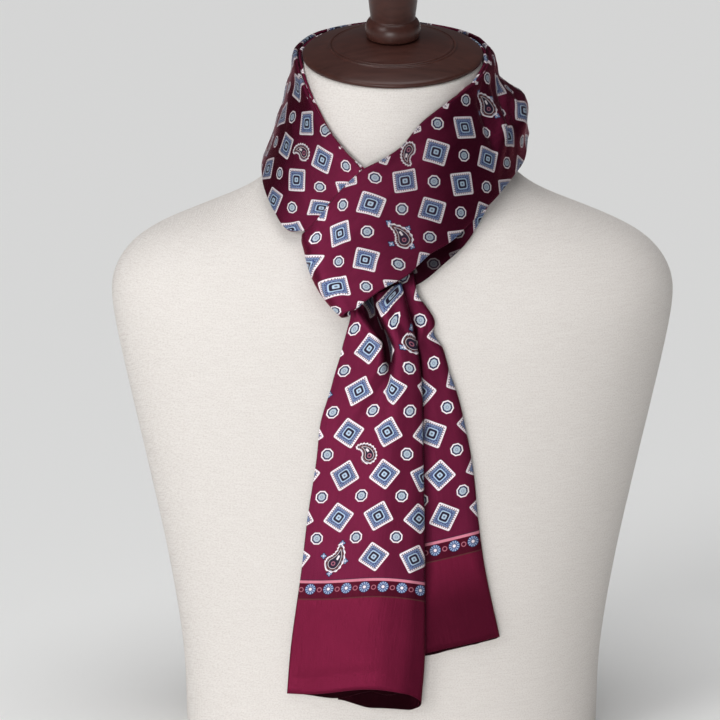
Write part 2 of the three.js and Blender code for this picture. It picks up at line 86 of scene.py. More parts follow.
# Sections of the strands: edge at the neck, edge at the shoulder, crown, lobe and layer.
GIRDLE = [
    ((-34, -64, 434.5), (-73, -79, 384), (1.5, 0, 1.3)),
    ((-45, -55, 447), (-82, -66, 394), (1, 0, 1)),
    ((-54, -43.5, 461), (-89, -45, 406), (0.5, 0, 1)),
    ((-63.5, -20, 481), (-91, -25, 414.5), (-1, 0, 1)),
    ((-68, 0, 490.5), (-91, 3, 416), (-2.5, 0, 1)),
    ((-66, 21, 494.5), (-89, 33, 417), (-2, 0, 1)),
    ((-50, 48, 500), (-74, 66, 422), (1.5, 0, 1)),
    ((0, 69.5, 504), (0, 89, 426), (3, 0, 1)),
    ((50, 48, 500), (77, 68, 428), (1.5, 3, 1)),
    ((66, 21, 494.5), (95, 32, 432), (0, 8, 1)),
    ((68, 0, 490.5), (94, 0, 431), (-1, 10, 1)),
    ((65, -19, 486), (91, -22, 421), (-1, 7, 1)),
    ((57.5, -33.5, 479.6), (82, -45, 413), (1, 3, 1)),
    ((47, -47, 473), (70, -65, 402.5), (2, 1, 1)),
]
BACK_OF_GIRDLE = 7  # its row at the middle of the back
OVER = [
    ((36, -58, 466), (53, -83, 389.5), (3, 0, 1)),
    ((19, -67, 454), (39, -95, 378.5), (4, 0, 1.5)),
    ((5, -72, 438), (24, -103, 371), (5, 0, 2.2)),
    ((-9, -75, 429), (9, -109, 358), (5.5, 0, 3.1)),
    ((-22, -78, 422.5), (-6, -113, 350.5), (6, 0, 3.4)),
    ((-40, -84, 405.5), (-19, -116, 342), (5.5, 0, 3.6)),
    ((-51.5, -89.5, 391.5), (-27, -118, 336), (5, 0, 3.6)),
]
# The half turn that takes the loop round the tails: its axis, radii at both ends, side and crowns.
TURN_NECK = (-56, -85.5, 382.5)
TURN_OUT = (-29.5, -113, 333)
TURN_RADII = (5.8, 6.6)
TURN_FACING = (-0.25, -1, 0.3)
TURN_CROWNS = (5, 6, 6.5, 6, 3, 1)

UNDER = [
    ((-54, -77, 385), (-26, -104, 334), (0, 0, 0.1)),
    ((-34, -71, 408), (-4, -101, 341), (-5, 0, 0.1)),
    ((-8, -69, 426), (19, -98, 350.5), (-8, 0, 0.05)),
    ((16, -66, 442), (33, -93, 361), (-6, 0, 0)),
    ((34, -57, 459), (50, -84, 375.5), (-3, 0, 0)),
]
LEFT_OUTER = [
    ((-22, -73, 422), (-56, -86.2, 382.5), (0, 0, 2.2)),
    ((-12, -81, 403), (-47, -96, 365), (0, 0, 2.5)),
    ((-3, -92, 379), (-36, -105, 352), (0, 0, 2.6)),
    ((4, -101, 358), (-29, -109, 343), (0, 0, 2.6)),
]
LEFT_INNER = [
    ((-20, -70, 423), (-52, -82.8, 384), (0, 0, 1.1)),
    ((-6, -76, 405), (-40, -90, 366), (-2, 0, 1.25)),
    ((8, -84, 384), (-24, -98, 354), (-1, 0, 1.35)),
    ((17, -93, 366), (-10, -101, 351), (0, 0, 1.3)),
]

# Soft folds of the strands: the row of the girdle that each is centred on (past 13 it is the loop's),
# share of the width, turn from the strand's own direction, half length, half width, height.
FOLDS = [
    (12.35, 0.30, 82, 30, 4.0, -2.6),
    (11.75, 0.42, 80, 26, 5.0, 2.6),
    (11.1, 0.62, 62, 20, 4.5, -1.8),
    (11.45, 0.40, 50, 38, 5.0, 1.8),
    (11.0, 0.42, 50, 40, 3.0, -2.4),
    (10.3, 0.50, 70, 26, 5.5, 1.6),
    (10.15, 0.34, 36, 20, 2.6, 1.5),
    (9.9, 0.52, 20, 20, 3.0, -1.6),
    (9.5, 0.58, 4, 20, 3.5, 1.3),
    (9.4, 0.17, 84, 12, 3.8, 1.2),
    (9.0, 0.13, 96, 10, 3.8, -0.8),
    (8.6, 0.16, 80, 13, 4.0, 1.2),
    (8.1, 0.45, 60, 30, 7.0, 1.4),
    (7.2, 0.35, 15, 60, 8.0, 2.3),
    (6.1, 0.55, -12, 50, 7.0, -1.9),
    (5.2, 0.25, -30, 24, 5.0, 1.6),
    (4.0, 0.60, 8, 40, 8.0, 1.2),
    (2.6, 0.35, -14, 30, 7.0, 1.2),
    (1.2, 0.62, 12, 26, 6.0, 1.0),
    (15.0, 0.28, -10, 44, 9.0, 1.3),
    (16.4, 0.62, 9, 40, 8.0, -1.0),
    (18.0, 0.36, 14, 34, 8.0, 1.2),
    (18.6, 0.80, -12, 26, 5.0, 1.2),
]
# How they show on the strand beneath: lower ridges, and hollows that are deeper and wider.
RIDGE_BENEATH = 0.4
HOLLOW_BENEATH = 1.15
HOLLOW_WIDER = 0.8

# Lobe of the strand that stands off the right shoulder, in shares of the width.
LOBE_CREST = (0.66, 0.2)
LOBE_DIP = (0.3, 0.12)
LOBE_DIP_SHARE = 0.25

# The hanging tails, from under the loop down to the hem: left edge (x, z), right edge (x, z), how far
# what lies behind stands off the form at both edges, and how far the front half does. Then the pleat
# that the loop presses in: its depth, its share of the width, the height of the ridges beside it, the
# rise of the bow in the cloth, and how far the pleat reaches to the left.
TAIL_FRONT = [
    ((-31, 341), (5, 352), (4, 7.6), (8, 12.4), (3, 0.44, 1.5, 0, 0.2)),
    ((-29.5, 330), (8.5, 341), (4, 7.4), (8, 13.5), (8, 0.46, 2.2, 0, 0.2)),
    ((-32, 320), (11, 331), (2.6, 6.8), (7, 13.5), (9.5, 0.55, 2.6, 0, 0.14)),
    ((-34.5, 311), (14, 320), (1.5, 6), (6, 13), (8.5, 0.64, 2.8, 0, 0.09)),
    ((-37, 301), (16.5, 308), (0.8, 5.4), (5, 12), (5.5, 0.67, 2.4, 0, 0.08)),
    ((-39.5, 293), (18, 298), (0.4, 4.9), (4, 11), (3.4, 0.66, 2.0, 0, 0.1)),
    ((-43.5, 278), (19.5, 281), (0.4, 4.3), (3, 10), (1.8, 0.64, 1.4, 2, 0.16)),
    ((-50, 256), (20, 257), (0.4, 4.3), (2.5, 9), (0.7, 0.6, 0.8, 3, 0.2)),
    ((-53, 229), (20.5, 229), (0.4, 4.3), (2.5, 9), (0.2, 0.55, 0.4, 4, 0.2)),
    ((-59.5, 185), (21.5, 185), (0.4, 4.3), (2.5, 9.5), (0, 0.5, 0.2, 5, 0.2)),
    ((-63.5, 149), (22, 149), (0.4, 4.3), (2.5, 10), (0, 0.5, 0, 6, 0.2)),
    ((-71.5, 88), (22.5, 88), (0.4, 4.3), (2.5, 12), (0, 0.5, 0, 8.3, 0.2)),
    ((-74.5, 51), (20, 50), (0.4, 4.3), (2.5, 13), (0, 0.5, 0, 11, 0.2)),
]
TAIL_BACK = [
    ((-8, 349), (13.5, 358), (4, 4), (5.9, 6.2), (0, 0.6, 0, 0, 0.2)),
    ((-4, 331), (17, 343), (4, 4), (6.1, 6.4), (0, 0.62, 0, 0, 0.2)),
    ((-3.5, 322), (23.5, 334), (2, 2), (4.6, 5.8), (0.6, 0.62, 0.8, 0, 0.2)),
    ((-3, 312), (28, 326), (0.6, 0.6), (3.4, 5.8), (1.2, 0.6, 1.2, 0, 0.2)),
    ((-3.5, 303), (27.5, 318), (0.4, 0.4), (3, 5.6), (1.6, 0.58, 1.4, 0, 0.2)),
    ((-4, 292), (33.5, 308), (0.4, 0.4), (2.6, 5.4), (1.4, 0.56, 1.4, 0, 0.2)),
    ((-9, 275), (38.5, 291), (0.4, 0.4), (2.4, 5.2), (1, 0.56, 1.2, 0, 0.2)),
    ((-13, 262), (43.5, 277), (0.4, 0.4), (2.3, 5.0), (0.7, 0.56, 1, 0, 0.2)),
    ((-17, 235), (50, 250), (0.4, 0.4), (2.3, 4.6), (0.3, 0.56, 0.6, 0, 0.2)),
    ((-18.5, 205), (55, 222), (0.4, 0.4), (2.3, 4.2), (0, 0.56, 0.3, 0, 0.2)),
    ((-18, 166), (59, 184), (0.4, 0.4), (2.3, 4.2), (0, 0.56, 0, 0, 0.2)),
    ((-14, 131), (64, 149), (0.4, 0.4), (2.8, 4.6), (0, 0.5, 0, 0, 0.2)),
    ((-4, 80), (75, 96.5), (0.4, 0.4), (3.3, 5.2), (0, 0.5, 0, 1, 0.2)),
]

# Places and widths across a tail, in shares of its width.
BOW = (0.66, 0.4)  # middle and width of the bow in the cloth's cross lines
BACK_BOW = 0.35  # share of the bow that the back half has
REST_RISE = (0.28, 0.49)  # from the bare form to what lies behind the tail
MOST_BACK = 0.92  # that the back half may cover
PLEAT_RIGHT = 0.055
RIDGE_OFF = 0.18
RIDGE_WIDTH = 0.12
LEFT_RIDGE_OFF = 1.5  # in shares of how far the pleat reaches to the left
LEFT_RIDGE_WIDTH = 0.08
FREE_AT_LEFT = 0.12  # where folds and ridges have their full height
FLAT_AT_FOLD = 0.08  # where they have died away
RISES_UNTIL = 0.8  # where the front half stands as far off as at its right edge
OVER_BACK = (-0.06, 0.02)  # either side of the back half's edge, where the front half rises over it
TAKEN_UP_OVER = (-0.01, 0.05)  # either side of the pleat, where the print is taken into it

# Lengths up from the hem.
NEAR_HEM = 90
OPEN_LENGTH = 55  # over which the two layers part
FLATTENED = (260, 60)  # over which the fold is pressed flat
HEM_LINE = (13, 4)  # middle and width of the soft crease over the stitching
HEM_SAG = 12  # of that crease towards its ends
HEM_PARTS = ((4.5, 0.45, 0.22), (3, 0.82, 0.1))  # how far the layers part, where and over what width

# Heights off the form.
LAYERS_APART = 0.55
HEM_CREASE = 0.8
WAVE = 0.6
WAVE_TURNS = (9, 0.021)  # in radians, across the whole width and for each millimetre up
CLEAR_OF_BACK = 0.11  # for each millimetre of the pleat's depth

# Painted shade that darkens the silk's colour where the cloth lies out of the light, where 0 is open to
# it, and the lengths it grows over.
LOOP_SHADE = 0.7
UNDER_LOOP = (15, 1)  # down from the loop
BESIDE_TAIL = (8, 0)  # off the edge of the tail that lies on it
IN_PLEAT = (1.2, 3.8)  # down into the pleat
PAINTED_HEM_SHADE_RISE = (66, 30)  # up from the hem
UNDER_HEM = (40, 8)
FOLD_SHADE = 0.45
FOLD_SHADED = (0.9, 1.02)  # across the front half, in shares of its width
TURN_SHADE = 0.4  # at the start of the fold, and dark from there on
TURN_SHADED = (0.6, 2.2)  # round the fold, in radians
BACK_SHADE = 0.6
EDGE_SHADE = 0.25

# ---------------------------------------------------------------- sizes of the print

DIAGONAL = math.sqrt(0.5)
SQUARE_PITCH = (29, 30)  # across and along the scarf
LAST_SQUARES = 104  # above the hem, the row of squares nearest it
TURN_OF_SQUARES = 12  # degrees either way from standing on a corner
ROSETTE_PITCH = 13.5
ROSETTE_PHASE = 1.8
PAISLEY_EVERY = 13  # cells from one large paisley to the next, along the rows and columns

# Paisleys: radius of the bend, where it starts and how far it sweeps in degrees, both half breadths.
LARGE_PAISLEY = (13, -50, 62, 6.3, 1.5)
SMALL_PAISLEY = (7.5, -62, 88, 5.6, 1.6)
FLOWERS = ((4.9, 11.2), (-8.2, 2.2), (8.3, -2.2), (-2.6, -11))  # round the large paisley

# Heights above the hem of the border's lines.
END_BAND_TOP = 73.6
BEADS_AT = 81.2
ROSETTES_AT = 81.6
BORDER_TOP = 86.5
PINK_LINE = (86, 88)

# How the print lies on the outer strand: run from the middle of the back, place across the scarf at
# the neck fold, its scale from there down, place up the scarf, and its slant from the fold down.
LIE_OF_PRINT = np.array([
    (-420, 58, 1.05, 840, -0.2),
    (-260, 31, 1.05, 1002, -0.2),
    (-190, 17, 1.05, 1072, -0.2),
    (-140, 7.5, 1.04, 1123, -0.2),
    (-40, -3, 1, 1216, 0),
    (60, -8, 0.97, 1306, 0.3),
    (150, -9.5, 0.96, 1391, 0.47),
    (320, -4.5, 0.96, 1568, 0.47),
    (420, 1, 0.96, 1680, 0.46),
    (700, 1, 0.96, 1980, 0.4),
])

# How it lies on the tails: whether across is measured from the fold or from the left edge, then the
# place there and its scale, its slant for each millimetre up, the place at the hem and its stretch.
FRONT_LIE = {
    "from the fold": False, "across": -25.5, "scale": 1.03, "slant": 0.02, "up": 1.8, "stretch": 0.968,
}
BACK_LIE = {"from the fold": True, "across": 514, "scale": 1, "slant": 0, "up": 8.2, "stretch": 0.97}

# Painted shade along the strands, darkening the silk's colour, in rows of their tables: it starts, is
# full, fades and ends, then its most.
OUTER_PAINTED_SHADE = (2, 7, 19.5, 24.5, 0.55)
INNER_PAINTED_SHADE = (-2, -1, 3.5, 5, 0.95)

FOULARD_TONES = [
    ("Ground", (0.145, 0.0135, 0.044)),
    ("Cream", (0.92, 0.83, 0.87)),
    ("Navy", (0.012, 0.012, 0.032)),
    ("Blue", (0.048, 0.085, 0.26)),
    ("Pale blue", (0.46, 0.60, 0.74)),
    ("Ring middle", (0.44, 0.53, 0.60)),
    ("Rust", (0.1, 0.026, 0.026)),
    ("Pink", (0.66, 0.22, 0.30)),
    ("Border", (0.08, 0.007, 0.02)),
    ("End band", (0.155, 0.0115, 0.038)),
]
SATIN = 0.88  # how far the crimson ground shines in its own colour
DARKEST_PAINTED_SHADE = 0.93  # share of the colour that the darkest painted shade takes away

# ---------------------------------------------------------------- sizes of the cap and the knob

# Outlines of the turned cap and knob: radius, and height above the foot.
CAP_OUTLINE = [
    (61.4, 0), (62.7, 0.4), (63.5, 1.5), (63.3, 2.9), (62.2, 3.9), (60, 4.8), (53, 6.9), (46.6, 8.6),
    (45.4, 9.0), (45.0, 9.6), (44.3, 9.9), (43.6, 9.7), (43.2, 9.3), (42.8, 9.6), (42.2, 10.2),
    (41.4, 10.3), (40.4, 10.4), (36, 11.6), (28, 13.5), (21, 14.9), (12, 15.4),
]
KNOB_OUTLINE = [
    (16.2, 0), (18.2, 0.3), (18.9, 1.2), (19.4, 3.4), (19.5, 6.6), (18.6, 10.2), (16.8, 12.8),
    (15.7, 13.8), (15.8, 15.2), (16.4, 20), (17.3, 28), (18.4, 38), (19.5, 48), (19.7, 52.4),
    (18.9, 56.4), (16.6, 59.8), (12, 62.2), (6.5, 63.3), (2, 63.6),
]
CAP_STANDS = 0.3  # above the top of the neck, along its lean
KNOB_STANDS = 16.0
NECK_TOP = 490
NECK_LEAN = 11  # degrees
OUTLINE_STEPS = 3
SIDES = 96  # round a turned piece

# Angles between faces, in degrees: those of the form that are joined into one, those that are kept
# sharp, and the most that is shaded smooth, on the form and on turned pieces.
JOINED = 30
SHARP = 45
SMOOTH = 40
TURNED_SMOOTH = 50

# ---------------------------------------------------------------- places on the stage, in metres

LENS = 185.7  # in millimetres, as is the sensor
SENSOR = 36
AIM = (-0.023, -0.060, 0.286)  # what the camera looks at
DISTANCE = 2.6
TILT = 14  # degrees that it looks down
FLOOR = 30


# ---------------------------------------------------------------- curves and surfaces

def hill(at, middle, width):
    """A soft hill of height 1 at `middle`, that has died away about two widths from it."""
    return np.exp(-(((at - middle) / width) ** 2))


def rise(at, low, high):
    """0 below `low`, 1 above `high`, smooth between them."""
    share = np.clip((at - low) / (high - low), 0, 1)
    return share * share * (3 - 2 * share)


def unit(vectors):
    return vectors / np.linalg.norm(vectors, axis=-1, keepdims=True)


def through(rows, steps):
    """Points on a smooth curve through rows of numbers, `steps` of them from each row to the next."""
    rows = np.asarray(rows, float)
    ends = np.vstack([2 * rows[0] - rows[1], rows, 2 * rows[-1] - rows[-2]])
    reach = np.sqrt(np.linalg.norm(np.diff(ends, axis=0), axis=1))
    at = (np.arange(steps) / steps)[:, None]
    points = []
    for k in range(len(rows) - 1):
        before, here, after = reach[k:k + 3]
        here = here if here > 1e-4 else 1.0
        before = before if before > 1e-4 else here
        after = after if after > 1e-4 else here
        p0, p1, p2, p3 = ends[k:k + 4]
        leave = here * ((p1 - p0) / before - (p2 - p0) / (before + here) + (p2 - p1) / here)
        arrive = here * ((p2 - p1) / here - (p3 - p1) / (here + after) + (p3 - p2) / after)
        square = -3 * p1 + 3 * p2 - 2 * leave - arrive
        cube = 2 * p1 - 2 * p2 + leave + arrive
        points.append(p1 + leave * at + square * at ** 2 + cube * at ** 3)
    points.append(rows[-1:])
    return np.vstack(points)


def form_section(z):
    """The form's half width, depths, roundness and lean at heights."""
    heights = FORM_ROWS[:, 0]
    last = len(heights) - 1
    at = np.clip(z, heights[0], heights[last])
    i = np.clip(np.searchsorted(heights, at) - 1, 0, last - 1)
    below = np.maximum(np.arange(last + 1) - 1, 0)
    above = np.minimum(np.arange(last + 1) + 1, last)
    slopes = (FORM_ROWS[above] - FORM_ROWS[below]) / (heights[above] - heights[below])[:, None]
    span = (heights[i + 1] - heights[i])[..., None]
    t = (at - heights[i])[..., None] / span
    level = (
        FORM_ROWS[i] * (1 - 3 * t ** 2 + 2 * t ** 3)
        + FORM_ROWS[i + 1] * (3 * t ** 2 - 2 * t ** 3)
        + span * slopes[i] * (t ** 3 - 2 * t ** 2 + t)
        + span * slopes[i + 1] * (t ** 3 - t ** 2)
    )
    half, front, back, roundness = (level[..., k] for k in range(1, 5))
    return half, front, back, roundness, np.tan(np.radians(level[..., 5]))


def outside(points):
    """Grows with the distance from the form: 0 on its surface, below 0 inside."""
    x, y, z = (points[..., k] for k in range(3))
    section = form_section(z)
    for _ in range(LEAN_PASSES):
        section = form_section(z - y * section[4])
    half, front, back, roundness, _lean = section
    deep = np.where(y < 0, front, back)
    return ((np.abs(x) / half) ** roundness + (np.abs(y) / deep) ** roundness) ** (1 / roundness) - 1


def lift_off(points, least):
    """Moves points straight away from the form until they are at least `least` off it."""
    points = points.copy()
    steps = np.eye(3) * LIFT_STEP
    for _ in range(LIFT_PASSES):
        slope = np.stack([outside(points + step) - outside(points - step) for step in steps], axis=-1)
        steep = np.linalg.norm(slope, axis=-1)
        distance = outside(points) / steep * 2 * LIFT_STEP
        short = np.where(distance < least - CLOSE_ENOUGH, least - distance, 0)
        points += slope / steep[..., None] * short[..., None]
    return points


def in_front(x, z, lift):
    """Points in front of the form that stand `lift` off it."""
    half, front, _back, roundness, _lean = form_section(z)
    across = (np.abs(x) / (half + lift)) ** roundness
    return np.stack([x, -(front + lift) * (1 - across) ** (1 / roundness), z], axis=-1)


# ---------------------------------------------------------------- cloth meshes

def cloth_mesh(name, points, cloth, faces, painted_shade, material):
    """A piece of silk with its place on the scarf as its UV map, and the painted shade that darkens its
    colour.
    """
    corners = points[faces]
    volume = np.einsum("ij,ij->", corners[:, 0], np.cross(corners[:, 1], corners[:, 2]))
    if volume < 0:
        faces = faces[:, ::-1]
        cloth = cloth[:, ::-1]
    mesh = bpy.data.meshes.new(name)
    mesh.from_pydata((points * MM).tolist(), [], faces.tolist())
    layer = mesh.uv_layers.new(name="scarf")
    layer.data.foreach_set("uv", (cloth * MM).astype(np.float32).ravel())
    # Painted shade, which the silk's material multiplies into the printed colour.
    depth = mesh.attributes.new("painted_shade", "FLOAT", "POINT")
    depth.data.foreach_set("value", painted_shade.astype(np.float32).ravel())
    mesh.materials.append(material)
    mesh.shade_smooth()
    mesh.update()
    piece = bpy.data.objects.new(name, mesh)
    bpy.context.scene.collection.objects.link(piece)
    return piece


def grid_faces(rows, columns):
    """Four corners of each face of a grid, as row and column numbers."""
    i, j = np.meshgrid(np.arange(rows - 1), np.arange(columns - 1), indexing="ij")
    i = i.ravel()
    j = j.ravel()
    row = np.stack([i, i + 1, i + 1, i], axis=1)
    column = np.stack([j, j, j + 1, j + 1], axis=1)
    return row, column


def strand_mesh(name, middle, cloth, painted_shade, material):
    """Closed wall round the middle of a strand, with rounded edges; middle[i, j] runs i along.

    The caps at its ends are strips that start in the middle of one rim and end in the other.
    """
    rows, columns = middle.shape[:2]
    along = np.gradient(middle, axis=0)
    across = np.gradient(middle, axis=1)
    normal = unit(np.cross(along, across))
    outer = middle + normal * PLY / 2
    inner = middle - normal * PLY / 2

    def rim(j, beyond, towards):
        turns = np.pi * (np.arange(RIM_STEPS) + 1) / (RIM_STEPS + 1)
        outwards = unit(beyond)
        return [
            middle[:, j] + PLY / 2 * (towards * np.cos(turn) * normal[:, j] + np.sin(turn) * outwards)
            for turn in turns
        ]

    far = rim(-1, middle[:, -1] - middle[:, -2], 1)
    near = rim(0, middle[:, 0] - middle[:, 1], -1)
    ring = np.concatenate(
        [outer, np.stack(far, axis=1), inner[:, ::-1], np.stack(near, axis=1)], axis=1
    )
    places = np.concatenate(
        [
            cloth,
            np.repeat(cloth[:, -1:], RIM_STEPS, axis=1),
            cloth[:, ::-1],
            np.repeat(cloth[:, :1], RIM_STEPS, axis=1),
        ],
        axis=1,
    )
    count = ring.shape[1]
    row, column = grid_faces(rows, count + 1)
    faces = row * count + column % count
    uv = places[row, column % count]
    middle_of_rim = columns + RIM_STEPS // 2
    k = middle_of_rim + 1 + np.arange(count // 2 - 1)
    facing_k = 2 * middle_of_rim + 1 - k
    cap = np.stack([k, k + 1, facing_k - 1, facing_k], axis=1) % count
    last_cap = cap[:, ::-1]
    faces = np.concatenate([faces, cap, last_cap + (rows - 1) * count])
    uv = np.concatenate([uv, places[0, cap], places[-1, last_cap]])
    # Painted shade, the same all round each section of the wall.
    depth = np.repeat(painted_shade[:, None], count, axis=1)
    return cloth_mesh(name, ring.reshape(-1, 3), uv, faces, depth, material)


# ---------------------------------------------------------------- strands round the neck

def turn_rows():
    """Rows of the half turn that takes the loop round the tails."""
    neck = np.array(TURN_NECK, float)
    out = np.array(TURN_OUT, float)
    axis = unit(out - neck)
    facing = np.array(TURN_FACING, float)
    to_front = unit(facing - axis * facing.dot(axis))
    to_left = unit(np.cross(axis, to_front))
    if to_left[0] > 0:
        to_left = -to_left
    rows = []
    last = len(TURN_CROWNS) - 1
    for i, crown in enumerate(TURN_CROWNS):
        turn = math.pi * i / last
        reach = to_front * math.cos(turn) + to_left * math.sin(turn)
        layer = 1 if i < last / 2 else 0
        rows.append((neck + reach * TURN_RADII[0], out + reach * TURN_RADII[1], (crown, 0, layer)))
    return rows


def strand_sections(rows, steps, facing):
    """Sections of a strand: neck edge, out edge, shape and the direction away from the neck."""
    neck = through([row[0] for row in rows], steps)
    out = through([row[1] for row in rows], steps)
    shape = through([row[2] for row in rows], steps)
    middle = neck + out
    count = len(middle)
    before = np.maximum(np.arange(count) - 1, 0)
    after = np.minimum(np.arange(count) + 1, count - 1)
    away = unit(np.cross(middle[after] - middle[before], out - neck)) * facing
    return neck, out, shape, away


def moved_in(rows):
    """The same rows moved in towards the neck by one strand, for the one that lies beneath."""
    neck, out, shape, away = strand_sections(rows, 1, 1)
    shape = shape - np.array([0, 0, 1])
    return list(zip(neck - away * STACK, out - away * STACK, shape))


def length_along(points):
    steps = np.linalg.norm(np.diff(points, axis=0), axis=1)
    return np.concatenate([[0], np.cumsum(steps)])


def row_of(girdle_row, left_rows, last, beneath):
    """Where a row that is counted along the girdle is among a strand's own rows."""
    row = girdle_row + left_rows
    return last - row if beneath else row


def fold_heights(share, along, row_lengths, left_rows, beneath):
    """Heights of the soft folds on a strand, from each point's share of the width and length along."""
    height = np.zeros(np.broadcast(share, along).shape)
    last = len(row_lengths) - 1
    for at, across, turn, long, wide, high in FOLDS:
        row = row_of(at, left_rows, last, beneath)
        if row < 0 or row > last:
            continue
        middle = np.interp(row, np.arange(last + 1), row_lengths)
        x = along - middle
        y = (share - across) * SCARF_WIDTH / 2
        lean = math.radians(-turn if beneath else turn)
        run = x * math.cos(lean) + y * math.sin(lean)
        off = y * math.cos(lean) - x * math.sin(lean)
        if beneath and high > 0:
            high = high * RIDGE_BENEATH
        elif beneath:
            wide = wide + HOLLOW_WIDER
            high = high * HOLLOW_BENEATH
        height += high * hill(off, 0, wide) * np.exp(-((run / long) ** 4))
    return height


def strand(name, rows, left_rows, beneath, shaded, material):
    """A strand folded at the neck: front half up to the fold, round it, back half down.

    The outer strand's rows run from the left front round to the loop, and those of the strand beneath
    run back. left_rows is how many of them lie on the left front, before the girdle.
    """
    neck, out, shape, away = strand_sections(rows, STEPS, -1 if beneath else 1)
    share = np.linspace(0, 1, ACROSS + 1)[None, :, None]
    straight = neck[:, None] + (out - neck)[:, None] * share
    lengths = length_along(straight[:, ACROSS // 2])
    row_lengths = lengths[::STEPS]
    s = share[..., 0]
    crown, lobe, layer = (shape[:, k, None] for k in range(3))
    crest = hill(s, *LOBE_CREST) - LOBE_DIP_SHARE * hill(s, *LOBE_DIP)
    height = crown * 4 * s * (1 - s) + lobe * crest
    soft = fold_heights(s, lengths[:, None], row_lengths, left_rows, beneath)
    middle = straight + away[:, None] * (height + soft)[..., None]
    middle = lift_off(middle, 2 * SEAM + layer * STACK + STRAND / 2)
    swell = (INNER_ROLL if beneath else ROLL) * hill(s, ROLL_OFF * ROLL_WIDTH, ROLL_WIDTH)
    front = middle + away[:, None] * (HALF_GAP + swell)[..., None]
    back = middle - away[:, None] * HALF_GAP
    turns = np.pi * (np.arange(FOLD_STEPS) + 1) / (FOLD_STEPS + 1)
    centre = (front[:, 0] + back[:, 0]) / 2
    radius = np.linalg.norm(front[:, 0] - back[:, 0], axis=1, keepdims=True) / 2
    upward = unit(neck - out)
    fold = np.stack(
        [centre + radius * (away * math.cos(turn) + upward * math.sin(turn)) for turn in turns], axis=1
    )
    grid = lift_off(np.concatenate([front[:, ::-1], fold, back], axis=1), SEAM + PLY / 2)
    across = np.concatenate([s[0, ::-1] * SCARF_WIDTH / 2, np.cos(turns), -s[0] * SCARF_WIDTH / 2])
    path = np.concatenate(
        [straight[:, ::-1], np.repeat(straight[:, :1], FOLD_STEPS, axis=1), straight], axis=1
    )
    steps = np.linalg.norm(np.diff(path, axis=0), axis=2)
    run = np.concatenate([np.zeros((1, path.shape[1])), np.cumsum(steps, axis=0)])
    run = run - run[row_of(BACK_OF_GIRDLE, left_rows, len(rows) - 1, beneath) * STEPS]
    lie = [np.interp(run, LIE_OF_PRINT[:, 0], LIE_OF_PRINT[:, k]) for k in range(1, 5)]
    cloth = np.stack([lie[0] - lie[1] * across, lie[2] - lie[3] * across], axis=-1)
    # Painted shade along the strand: darker over the rows where it lies out of the light.
    starts, full, fades, ends, most = shaded
    row = np.arange(len(run)) / STEPS
    painted_shade = most * rise(row, starts, full) * (1 - rise(row, fades, ends))
    return strand_mesh(name, grid, cloth, painted_shade, material)


# ---------------------------------------------------------------- hanging tails

def off_edge(points, rows):
    """How far to the right of a tail's right edge points are."""
    edge = np.array([row[1] for row in rows])[::-1]
    return points[..., 0] - np.interp(points[..., 2], edge[:, 1], edge[:, 0])


